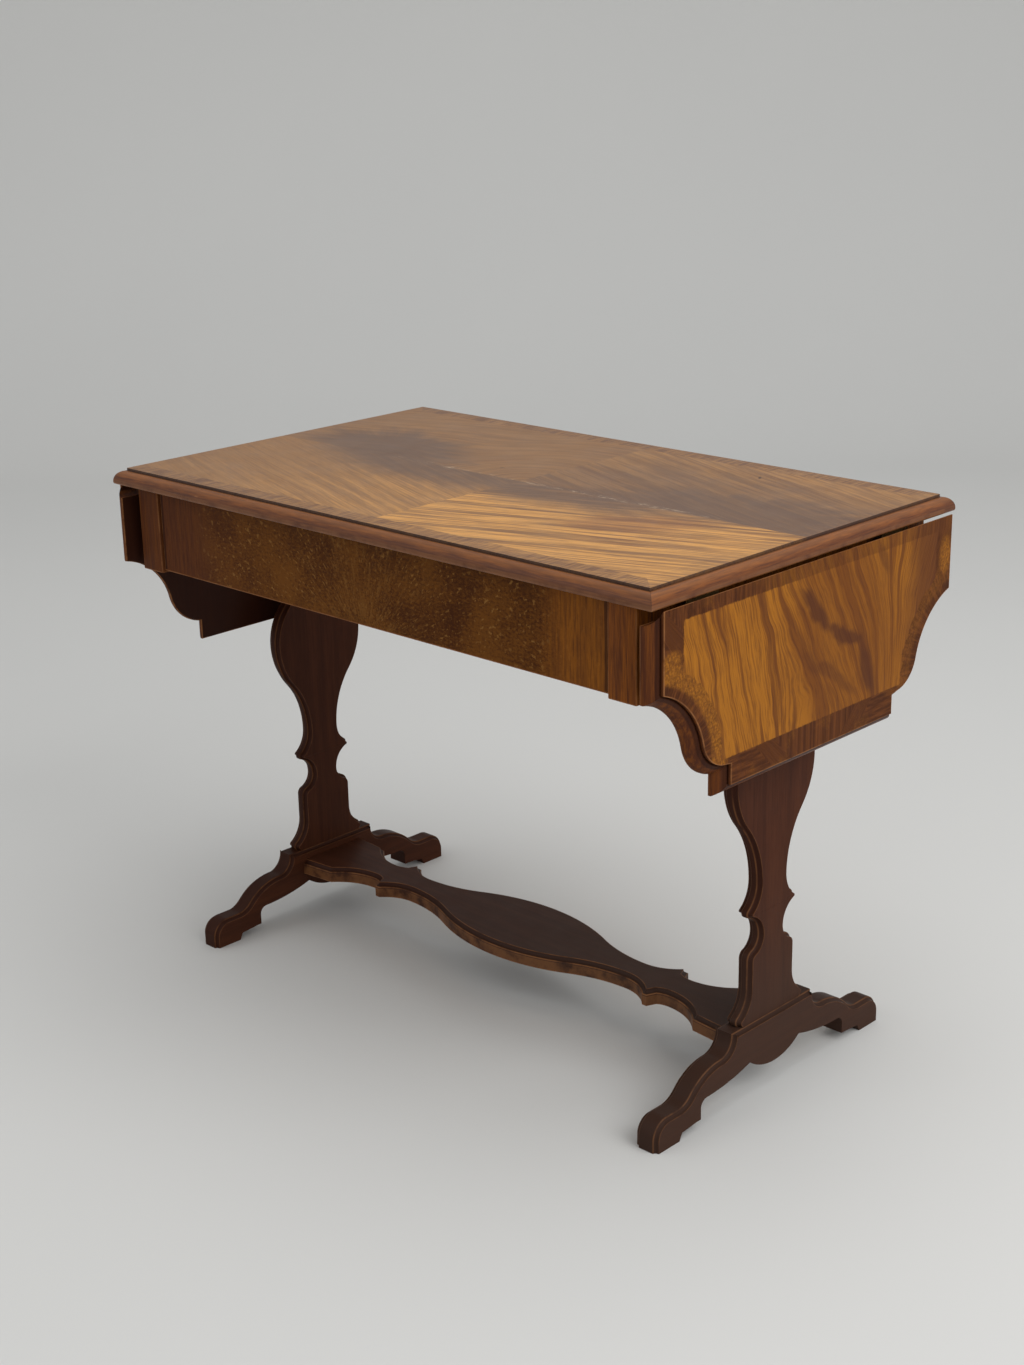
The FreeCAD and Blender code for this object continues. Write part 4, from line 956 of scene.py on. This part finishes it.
# What plain_grain is given for each solid wood. The left end's posts are darker than the right end's,
# and side wood is plain wood with its grain along Y
SOLID_WOODS = {
    "post_wood": dict(axis="z", deep="lipping_deep", light="post", roughness=0.4, worn=0.6, width=3),
    "left_post_wood": dict(axis="z", deep="stain", light="band", roughness=0.4, worn=0.6, width=3),
    "trestle_wood": dict(axis="z", deep="umber", light="stain", roughness=0.36, worn=0.3, width=14,
                         board=("splat_right", "x")),
    "foot_wood": dict(axis="y", deep="umber", light="stain", roughness=0.36, worn=0.3, width=14,
                      board=("foot_right", "x")),
    "stretcher_wood": dict(axis="x", deep="umber", light="stain", roughness=0.4, worn=0.7, width=14,
                           board=("stretcher", "z"), shine=0.1),
    "plain_wood": dict(axis="x", deep="tan", light="bare", roughness=0.62),
    "side_wood": dict(axis="y", deep="tan", light="bare", roughness=0.62),
    "prop_wood": dict(axis="z", deep="russet", light="prop", roughness=0.5),
}
# Colour and roughness of each metal
METALS = {"hinge_brass": ("brass", 0.35), "steel": ("steel", 0.4)}


def finish_of(name):
    """The finish of a slot or of one kind of its wood, made when it is first asked for."""
    made = bpy.data.materials.get(f"{name}_finish")
    if made:
        return made
    if name in SOLID_WOODS:
        return plain_grain(name, **SOLID_WOODS[name])
    if name in METALS:
        return dull_metal(name, *METALS[name])
    return VENEERS[name]()


def leaf_ovolo():
    """How far a leaf's back reaches outside its face, which is as wide as the top panel."""
    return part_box("leaf_right")[1][1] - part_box("top_panel")[1][1]


def leaf_centres(sizes, low, high, ovolo):
    """Centres (y, z) of a leaf's scoop and nose, two circles that touch."""
    nose_z = low[2] + ovolo + sizes.tab_height + sizes.nose_radius
    scoop_y, scoop_z = high[1] - ovolo + sizes.scoop_outset, nose_z - sizes.scoop_drop
    nose_y = scoop_y - math.sqrt((sizes.scoop_radius + sizes.nose_radius) ** 2 - sizes.scoop_drop ** 2)
    return (scoop_y, scoop_z), (nose_y, nose_z)


def leaf_outline(sizes, low, high, ovolo):
    """A leaf's back outline: side, scoop, nose and tab."""
    (scoop_y, scoop_z), (nose_y, nose_z) = leaf_centres(sizes, low, high, ovolo)
    scoop, nose = sizes.scoop_radius - ovolo, sizes.nose_radius + ovolo
    side = high[1]
    scoop_top = scoop_z + math.sqrt(scoop ** 2 - (scoop_y - side) ** 2)
    touch = nose / (scoop + nose)
    tab = nose_y - sizes.nose_inset + ovolo
    half = [
        corner(side, high[2]),
        bend(side, scoop_top, scoop, True),
        bend(nose_y + (scoop_y - nose_y) * touch, nose_z + (scoop_z - nose_z) * touch, nose, False),
        corner(tab, nose_z - math.sqrt(nose ** 2 - (tab - nose_y) ** 2)),
        corner(tab, low[2]),
    ]
    return whole(half)


def leaf_rows(sizes, low, high, ovolo):
    """Rows (inset, x, wear) of a leaf from its back, out along its sloping edge, to its raised face.

    The slope is a chord that bows outward by 4 bulge u (1 - u). A groove parts it from the face's step.
    """
    shelf = high - sizes.step
    foot = np.array((0, shelf - ovolo))
    head = np.array((ovolo - sizes.quirk_width, shelf - sizes.quirk_depth / 2))
    run = head - foot
    outward = np.array((-run[1], run[0])) / np.hypot(*run)
    u = np.linspace(0, 1, MOULDING_STEPS)[:, None]
    slope = foot + run * u + outward * sizes.bulge * 4 * u * (1 - u)
    t = np.linspace(0, math.pi / 2, MOULDING_STEPS // 2)[1:]
    quirk = head + np.stack([sizes.quirk_width * np.sin(t), -sizes.quirk_depth * (1 - np.cos(t))], axis=1)
    plain = np.vstack([slope, quirk, [(ovolo, shelf)]])
    plain = np.column_stack([plain, np.zeros(len(plain))])
    back = face_rows(quarter_round(sizes.arris)) + (0, low, 0)
    face = face_rows(quarter_round(sizes.arris))[::-1] * (1, -1, 1) + (ovolo, high, 0)
    return np.vstack([back, plain, face])


def spread_scoops(rings, points, inset, centre, radius, side):
    """Spread the points of both scoops evenly from nose to side in every ring, so that none pass the side.

    On the circle of radius r + inset about the scoop's centre they end at the angle whose cosine is
    (centre - side + inset) / (r + inset).
    """
    across, height = centre[0] - np.abs(points[:, 0]), points[:, 1] - centre[1]
    on_scoop = np.abs(np.hypot(across, height) - radius) < TINY
    angle = np.arctan2(height, across)
    touch, start = angle[on_scoop].min(), math.acos((centre[0] - side) / radius)
    end = np.arccos((centre[0] - side + inset) / (radius + inset))[:, None]
    turned = touch + (angle - touch) / (start - touch) * (end - touch)
    wide = (radius + inset)[:, None]
    spread_y = np.sign(points[:, 0]) * (centre[0] - wide * np.cos(turned))
    spread_z = centre[1] + wide * np.sin(turned)
    rings[..., 1] = np.where(on_scoop, spread_y, rings[..., 1])
    rings[..., 2] = np.where(on_scoop, spread_z, rings[..., 2])


def make_leaf(side):
    """A leaf: rings from its back out along its edge to its raised face.

    Its hinge edge is a hollow of radius R about the hinge: z = hinge - sqrt(R^2 - (x - hinge)^2).
    """
    sizes = bpy.context.scene.table_leaf
    low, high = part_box("leaf_right")
    ovolo = leaf_ovolo()
    hinge = next(joint["pos_m"] for joint in frame["joints"] if joint["name"] == "right_leaf_hinge")
    outline = leaf_outline(sizes, low, high, ovolo)
    weights = free_runs(outline, lambda u, v: v > high[2] - TINY)
    rows = leaf_rows(sizes, low[0], high[0], ovolo)
    rings, wear = board_rings(outline, rows, "x", weights)
    scoop = leaf_centres(sizes, low, high, ovolo)[0]
    spread_scoops(rings, trace(outline)[0], rows[:, 0], scoop, sizes.scoop_radius - ovolo, high[1])
    reach = np.clip(sizes.cove_radius ** 2 - (rings[..., 0] - hinge[0]) ** 2, 0, None)
    rings[..., 2] = np.minimum(rings[..., 2], hinge[2] - np.sqrt(reach))
    name = f"{side}_leaf_board"
    mesh = make_solid(name, rings, wear, left_hand=side == "left")
    return add_piece(name, mesh, f"{side}_leaf", f"leaf_{side}", "leaf_veneer")


def strip_section(sizes, low, step_level, ovolo):
    """Rows (outward, level, wear) of a strip: underside, rounded lower edge, lip, round and fillet.

    The lower edge follows a circle: outward = ovolo - r + r sin t, level = low + r - r cos t. The round is a
    quarter ellipse: outward = fillet + (ovolo - fillet) cos t, level = lip + (step - lip) sin t. Its foot is
    worn, where it turns less than worn_turn.
    """
    lip_top = low + sizes.lip_height
    fillet, arris = sizes.fillet, sizes.lip_arris
    t = np.linspace(0, math.pi / 2, 2 * MOULDING_STEPS)
    worn_turn = 0.25
    few = t[::4]
    lower = np.stack([ovolo - arris + arris * np.sin(few), low + arris - arris * np.cos(few),
                      np.ones(len(few))], axis=1)
    upper = np.stack([fillet + (ovolo - fillet) * np.cos(t), lip_top + (step_level - lip_top) * np.sin(t),
                      np.where(t < worn_turn, LIP_WEAR, 0)], axis=1)
    underside = [(0, low, 0), (ovolo - 3 * arris, low, 0)]
    return np.vstack([underside, lower, upper, [(0, step_level, 0)]])


def make_strip(edge):
    """One moulded strip: its section carried along an edge of the panel to mitred ends.

    A section point d outside the panel and z high runs from -(L + d) to L + d along the edge.
    """
    sizes = bpy.context.scene.table_frieze
    low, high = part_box("top_panel")
    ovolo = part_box("top_lipping_right")[1][0] - high[0]
    across, level, worn = strip_section(sizes, low[2], high[2] - sizes.step, ovolo).T
    lengthwise = edge in ("front", "rear")
    half, out = (high[0], high[1]) if lengthwise else (high[1], high[0])
    ends = np.stack([-(half + across), half + across])
    turns = {"front": (1, -1), "right": (1, 1), "rear": (-1, 1), "left": (-1, -1)}[edge]
    along = ends * turns[0]
    outward = np.broadcast_to((out + across) * turns[1], ends.shape)
    levels = np.broadcast_to(level, ends.shape)
    flat = (along, outward) if lengthwise else (outward, along)
    rings = np.stack([*flat, levels], axis=-1)
    name = f"{edge}_moulding"
    mesh = make_solid(name, rings[:, ::-1], np.stack([worn, worn])[:, ::-1])
    return add_piece(name, mesh, "frame", f"top_lipping_{edge}", "lipping")


def block_outline(low_u, high_u, low_v, high_v, radius):
    """A rectangle with rounded corners."""
    return [
        bend(high_u - radius, low_v, radius, True), corner(high_u, low_v + radius),
        bend(high_u, high_v - radius, radius, True), corner(high_u - radius, high_v),
        bend(low_u + radius, high_v, radius, True), corner(low_u, high_v - radius),
        bend(low_u, low_v + radius, radius, True), corner(low_u + radius, low_v),
    ]


def make_post(node):
    """A corner post with rounded upright edges and an eased foot."""
    arris = bpy.context.scene.table_frieze.post_arris
    low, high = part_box(node)
    corners = block_outline(low[0], high[0], low[1], high[1], arris)
    foot = quarter_round(arris / 2)
    head = np.array([(0, 0, 0)])
    rings, wear = board_rings(corners, board_rows(low[2], high[2], foot, head), "z")
    # The upright arrises are worn too: the points that lie on none of the four sides
    points = trace(corners)[0]
    on_side = np.minimum(np.abs(points - low[:2]), np.abs(points - high[:2])).min(axis=1) < TINY
    wear = np.maximum(wear, np.where(on_side, 0, POST_WEAR))
    name = node.replace("post_", "") + "_post"
    finish = "left_post_wood" if node.endswith("left") else "post_wood"
    return add_piece(name, make_solid(name, rings, wear), "frame", node, "post_wood", finish)


def make_drawer_front():
    """The drawer front, a board with eased edges."""
    arris = bpy.context.scene.table_frieze.drawer_arris
    low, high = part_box("drawer_front")
    corners = [
        corner(high[0], low[2]), corner(high[0], high[2]),
        corner(low[0], high[2]), corner(low[0], low[2]),
    ]
    rows = board_rows(-high[1], -low[1], quarter_round(arris), quarter_round(arris))
    rings, wear = board_rings(corners, rows, "y")
    mesh = make_solid("drawer_face", rings, wear)
    return add_piece("drawer_face", mesh, "drawer", "drawer_front", "frieze_veneer")


def splat_outline(sizes, seat, head_top):
    """The vase-shaped trestle board, from its head down to its toe on the foot."""
    toe_top = seat + sizes.toe_height
    base_start = toe_top + sizes.flare_height
    base_end = base_start + sizes.base_height
    step_level = base_end + sizes.base_corner
    cove_level = step_level + sizes.cove_height
    ear_start = cove_level + sizes.cove_rise
    ear_end = ear_start + sizes.ear_height
    neck_level = ear_end + sizes.ear_rise
    vase_level = neck_level + sizes.vase_height
    head = (sizes.head_half, vase_level + sizes.shoulder_height)
    vase = (sizes.vase_half, vase_level)
    neck = (sizes.neck_half, neck_level)
    ear_top = (sizes.ear_half - sizes.bulge, ear_end)
    ear = (sizes.ear_half - sizes.bulge, ear_start)
    cove = (sizes.cove_half, cove_level)
    step = ((sizes.base_half + sizes.cove_half) / 2, step_level)
    base_top = (sizes.base_half, base_end)
    base = (sizes.base_half, base_start)
    toe = (sizes.toe_half - sizes.bulge, toe_top)
    half = [
        corner(sizes.head_half, head_top),
        bend(*head, quarter_radius(head, vase, False), False),
        *ogee(vase, neck, sizes.vase_share, False, False),
        bend(*neck, quarter_radius(neck, ear_top, False), True),
        bend(*ear_top, bow_radius(sizes.ear_height, sizes.bulge), False),
        bend(*ear, quarter_radius(ear, cove, False), True),
        bend(*cove, quarter_radius(cove, step, False), True),
        bend(*step, quarter_radius(step, base_top, False), False),
        corner(*base_top),
        bend(*base, quarter_radius(base, toe, False), True),
        bend(*toe, bow_radius(sizes.toe_height, sizes.bulge), False),
        corner(sizes.toe_half - sizes.bulge, seat),
    ]
    return whole(half)


def make_splat(side):
    """A trestle board whose edges have a hollow on both faces."""
    sizes = bpy.context.scene.table_splat
    low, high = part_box("splat_right")
    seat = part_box("foot_right")[1][2]
    outline = splat_outline(sizes, seat, high[2])
    weights = free_runs(outline, lambda u, v: v < seat + TINY)
    edge = hollow(sizes.hollow_width, sizes.hollow_depth, sizes.bead)
    rows = board_rows(low[0] + SCREW_SHOW, high[0], edge, edge)
    rings, wear = board_rings(outline, rows, "x", weights)
    name = f"{side}_trestle_board"
    mesh = make_solid(name, rings, wear, left_hand=side == "left")
    return add_piece(name, mesh, "frame", f"splat_{side}", "trestle_wood")


def foot_outline(sizes, tip, seat):
    """The sled foot: seat, hump and toe above, pad, arch and pendant below."""
    valley_y = tip - sizes.toe_length
    pad_y = tip - sizes.pad_length
    cusp_y = pad_y - sizes.heel_width
    arch_y = cusp_y - sizes.cusp_width
    seat_end = (sizes.seat_half, seat)
    hump = (sizes.seat_half + sizes.cove_width, sizes.hump_height)
    valley = (valley_y, sizes.valley_height)
    toe_top = (tip - sizes.toe_inset, sizes.valley_height)
    toe = (tip, sizes.toe_height)
    arch_low = (arch_y, sizes.arch_height - sizes.arch_radius)
    arch_top = (arch_y - sizes.arch_radius, sizes.arch_height)
    pendant_side = (sizes.pendant_half, sizes.pendant_rise)
    pendant = (0, sizes.pendant_height)
    half = [
        bend(*seat_end, quarter_radius(seat_end, hump, True), True),
        *ogee(hump, valley, sizes.slope_share, True, False),
        corner(*valley),
        bend(*toe_top, quarter_radius(toe_top, toe, False), False),
        corner(*toe),
        corner(tip, 0),
        corner(pad_y, 0),
        corner(pad_y - sizes.pad_rise / 2, sizes.pad_rise),
        corner(cusp_y, sizes.cusp_height),
        corner(arch_y, sizes.cusp_height),
        bend(*arch_low, sizes.arch_radius, True),
        bend(*arch_top, quarter_radius(arch_top, pendant_side, True), False),
        bend(*pendant_side, quarter_radius(pendant_side, pendant, True), False),
    ]
    return whole(half)


def make_foot(side):
    """A foot whose upper edges and toes have a hollow on both faces."""
    sizes = bpy.context.scene.table_foot
    low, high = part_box("foot_right")
    outline = foot_outline(sizes, high[1], high[2])
    # The underside, between the two corners on the floor at the tips, has no moulding
    tips = [index for index, (along, level, *_) in enumerate(outline)
            if abs(along) > high[1] - TINY and level == 0]
    weights = np.ones(len(outline))
    weights[tips[0]:tips[1]] = 0
    edge = hollow(sizes.hollow_width, sizes.hollow_depth, sizes.bead)
    rings, wear = board_rings(outline, board_rows(low[0], high[0], edge, edge), "x", weights)
    name = f"{side}_foot_board"
    mesh = make_solid(name, rings, wear, left_hand=side == "left")
    return add_piece(name, mesh, "frame", f"foot_{side}", "trestle_wood", "foot_wood")


def stretcher_outline(sizes, end_x):
    """The flat stretcher: belly, waist, ear, neck and flare, the same in all four quarters."""
    flare_x = end_x - sizes.end_length
    neck_x = flare_x - sizes.flare_length
    ear_foot_x = neck_x - sizes.neck_length
    ear_end_x = ear_foot_x - sizes.ear_back
    ear_x = ear_end_x - sizes.ear_width
    belly = (0, sizes.belly_half)
    waist = (ear_x - sizes.ear_run, sizes.waist_half)
    ear = (ear_x, sizes.ear_half)
    ear_foot = (ear_foot_x, sizes.ear_foot_half)
    neck = (neck_x, sizes.neck_half)
    flare = (flare_x, sizes.flare_half)
    quarter = [
        *ogee(belly, waist, sizes.belly_share, True, False),
        bend(*waist, quarter_radius(waist, ear, True), True),
        corner(*ear),
        corner(ear_end_x, sizes.ear_half),
        bend(*ear_foot, quarter_radius(ear_foot, neck, True), True),
        bend(*neck, quarter_radius(neck, flare, True), True),
        corner(*flare),
        corner(end_x, sizes.end_half),
    ]
    right = [*quarter, *mirrored(quarter, (1, -1))]
    return right + [(-u, -v, radius, left) for u, v, radius, left in right]


def make_stretcher():
    """The stretcher with a hollow round its upper edge and a rounded lower edge."""
    sizes = bpy.context.scene.table_stretcher
    low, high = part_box("stretcher")
    outline = stretcher_outline(sizes, high[0])
    weights = free_runs(outline, lambda u, v: abs(u) > high[0] - TINY)
    upper = hollow(sizes.hollow_width, sizes.hollow_depth, sizes.bead)
    rows = board_rows(low[2], high[2], quarter_round(sizes.arris), upper, STRETCHER_WEAR)
    rings, wear = board_rings(outline, rows, "z", weights)
    mesh = make_solid("stretcher_board", rings, wear)
    return add_piece("stretcher_board", mesh, "frame", "stretcher", "trestle_wood", "stretcher_wood")


# The finish of each node that keeps its own shape, by the start of its name
NODE_FINISHES = {
    "hinge_fixed_plates": "hinge_brass",
    "hinge_leaf_plates": "hinge_brass",
    "hinge_pins": "hinge_brass",
    "hinge_fixed_screws": "steel",
    "hinge_leaf_screws": "steel",
    "splat_screws": "steel",
    "prop_pin": "steel",
    "prop_left": "prop_wood",
    "prop_right": "prop_wood",
    "prop_lugs": "prop_wood",
    "end_rail": "frieze_veneer",
    "rear_frieze": "frieze_veneer",
    "drawer_side": "side_wood",
    "drawer_back": "plain_wood",
    "drawer_bottom": "plain_wood",
    "drawer_runner": "side_wood",
    "drawer_stops": "plain_wood",
    "glue_blocks": "plain_wood",
    "stretcher_dowels": "plain_wood",
}


class TABLE_OT_top(bpy.types.Operator):
    """Finish the veneered panel and build the moulded strips round it"""
    bl_idname = "table.top"
    bl_label = "Top"

    def execute(self, context):
        dress_node("top_panel", "top_veneer")
        for edge in ("front", "rear", "right", "left"):
            make_strip(edge)
        return {"FINISHED"}


class TABLE_OT_leaves(bpy.types.Operator):
    """Build the two hanging leaves"""
    bl_idname = "table.leaves"
    bl_label = "Leaves"

    def execute(self, context):
        for side in ("right", "left"):
            make_leaf(side)
        return {"FINISHED"}


class TABLE_OT_frieze(bpy.types.Operator):
    """Build the corner posts and the drawer front"""
    bl_idname = "table.frieze"
    bl_label = "Frieze"

    def execute(self, context):
        for row in ("front", "rear"):
            for side in ("right", "left"):
                make_post(f"post_{row}_{side}")
        make_drawer_front()
        return {"FINISHED"}


class TABLE_OT_trestles(bpy.types.Operator):
    """Build the trestle boards, the feet and the stretcher"""
    bl_idname = "table.trestles"
    bl_label = "Trestles"

    def execute(self, context):
        for side in ("right", "left"):
            make_splat(side)
            make_foot(side)
        make_stretcher()
        return {"FINISHED"}


class TABLE_OT_fittings(bpy.types.Operator):
    """Finish the hinges, screws, props and the drawer's inside"""
    bl_idname = "table.fittings"
    bl_label = "Fittings"

    def execute(self, context):
        for start, slot in NODE_FINISHES.items():
            found = [node for node in frame["nodes"] if node.startswith(start)]
            if not found:
                raise RuntimeError(f"no node starts with {start}")
            for node in found:
                dress_node(node, slot)
        return {"FINISHED"}


def stage_sweep(settings):
    """Floor and backdrop in one sheet: flat, then a quarter circle, then upright.

    The profile runs along the camera's level view and is carried sideways.
    """
    front, half_width, reach, bend_radius, wall = -6.0, 6.0, 2.6, 1.2, 4.0
    t = np.linspace(0, math.pi / 2, 24)[1:]
    away = np.concatenate([[front, reach], reach + bend_radius * np.sin(t), [reach + bend_radius]])
    level = np.concatenate([[0.0, 0.0], bend_radius * (1 - np.cos(t)), [wall]])
    side = np.array([-half_width, half_width])
    view = np.array((-math.sin(settings.yaw), math.cos(settings.yaw)))
    across = np.array((math.cos(settings.yaw), math.sin(settings.yaw)))
    flat = away[:, None, None] * view + side[None, :, None] * across
    upright = np.broadcast_to(level[:, None, None], (*flat.shape[:2], 1))
    points = np.concatenate([flat, upright], axis=-1)
    index = np.arange(len(away) * 2).reshape(-1, 2)
    quads = np.stack([index[:-1, 0], index[:-1, 1], index[1:, 1], index[1:, 0]], axis=-1)
    mesh = bpy.data.meshes.new("stage_sweep")
    mesh.from_pydata(points.reshape(-1, 3).tolist(), [], quads.tolist())
    mesh.polygons.foreach_set("use_smooth", np.ones(len(mesh.polygons), bool))
    sweep = bpy.data.objects.new("stage_sweep", mesh)
    bpy.context.scene.collection.objects.link(sweep)
    finish = Finish("stage_floor")
    soft = finish.noise(finish.x, finish.y, finish.z, 700, detail=3)
    field = finish.blend(soft * 0.14, settings.floor, (0.5, 0.5, 0.5))
    mesh.materials.append(finish.done(field, 0.82, soft, 0.02, 0.3))


def add_lamp(name, place, power, size):
    """A square soft lamp that points at the middle of the table."""
    data = bpy.data.lights.new(name, "AREA")
    data.energy = power
    data.size = size
    lamp = bpy.data.objects.new(name, data)
    lamp.location = place
    aim = Vector(LAMP_AIM) - Vector(place)
    lamp.rotation_euler = aim.to_track_quat("-Z", "Y").to_euler()
    bpy.context.scene.collection.objects.link(lamp)


def add_camera(settings):
    """The camera at the photograph's viewing angle, from its yaw, pitch, roll and place."""
    level_cos, level_sin = math.cos(settings.pitch), math.sin(settings.pitch)
    back = Vector((math.sin(settings.yaw) * level_cos, -math.cos(settings.yaw) * level_cos, level_sin))
    right = Vector((math.cos(settings.yaw), math.sin(settings.yaw), 0))
    up = back.cross(right)
    c, s = math.cos(settings.roll), math.sin(settings.roll)
    axes = (right * c + up * s, up * c - right * s, back, Vector(settings.eye))
    data = bpy.data.cameras.new("camera")
    data.sensor_width = 36
    data.lens = settings.lens
    camera = bpy.data.objects.new("camera", data)
    camera.matrix_world = Matrix([[axis[row] for axis in axes] for row in range(3)]).to_4x4()
    bpy.context.scene.collection.objects.link(camera)
    bpy.context.scene.camera = camera


class TABLE_OT_stage(bpy.types.Operator):
    """Build the floor, the lamps and the camera"""
    bl_idname = "table.stage"
    bl_label = "Stage"

    def execute(self, context):
        settings = context.scene.table_stage
        stage_sweep(settings)
        for name, (place, size) in LAMPS.items():
            add_lamp(f"{name}_lamp", place, getattr(settings, name), size)
        world = bpy.data.worlds.new("even_light")
        world.use_nodes = True
        sky = world.node_tree.nodes["Background"]
        sky.inputs["Color"].default_value = SKY_COLOUR
        sky.inputs["Strength"].default_value = settings.sky
        context.scene.world = world
        context.scene.view_settings.view_transform = "Standard"
        add_camera(settings)
        return {"FINISHED"}


OPERATORS = (TABLE_OT_top, TABLE_OT_leaves, TABLE_OT_frieze, TABLE_OT_trestles, TABLE_OT_fittings,
             TABLE_OT_stage)
GROUPS = {
    "table_leaf": LeafSizes,
    "table_splat": SplatSizes,
    "table_foot": FootSizes,
    "table_stretcher": StretcherSizes,
    "table_frieze": FriezeSizes,
    "table_colours": WoodColours,
    "table_stage": StageSettings,
}


class TABLE_PT_sidebar(bpy.types.Panel):
    """Lists the steps and the sizes of the table"""
    bl_idname = "TABLE_PT_sidebar"
    bl_label = "Drop-leaf table"
    bl_space_type = "VIEW_3D"
    bl_region_type = "UI"
    bl_category = "Table"

    def draw(self, context):
        for operator in OPERATORS:
            self.layout.operator(operator.bl_idname)
        for name, group in GROUPS.items():
            column = self.layout.column(heading=group.__doc__)
            for item in group.__annotations__:
                column.prop(getattr(context.scene, name), item)


def register():
    """Register every class and hang the settings on the scene."""
    for cls in (*GROUPS.values(), *OPERATORS, TABLE_PT_sidebar):
        bpy.utils.register_class(cls)
    for name, group in GROUPS.items():
        setattr(bpy.types.Scene, name, bpy.props.PointerProperty(type=group))


def unregister():
    """Undo register."""
    for name in GROUPS:
        delattr(bpy.types.Scene, name)
    for cls in reversed((*GROUPS.values(), *OPERATORS, TABLE_PT_sidebar)):
        bpy.utils.unregister_class(cls)


def main():
    """Build the table step by step and note the sizes of the solid and the visual model."""
    register()
    bpy.ops.table.top()
    bpy.ops.table.leaves()
    bpy.ops.table.frieze()
    bpy.ops.table.trestles()
    bpy.ops.table.fittings()
    bpy.ops.table.stage()


if __name__ == "__main__":
    main()
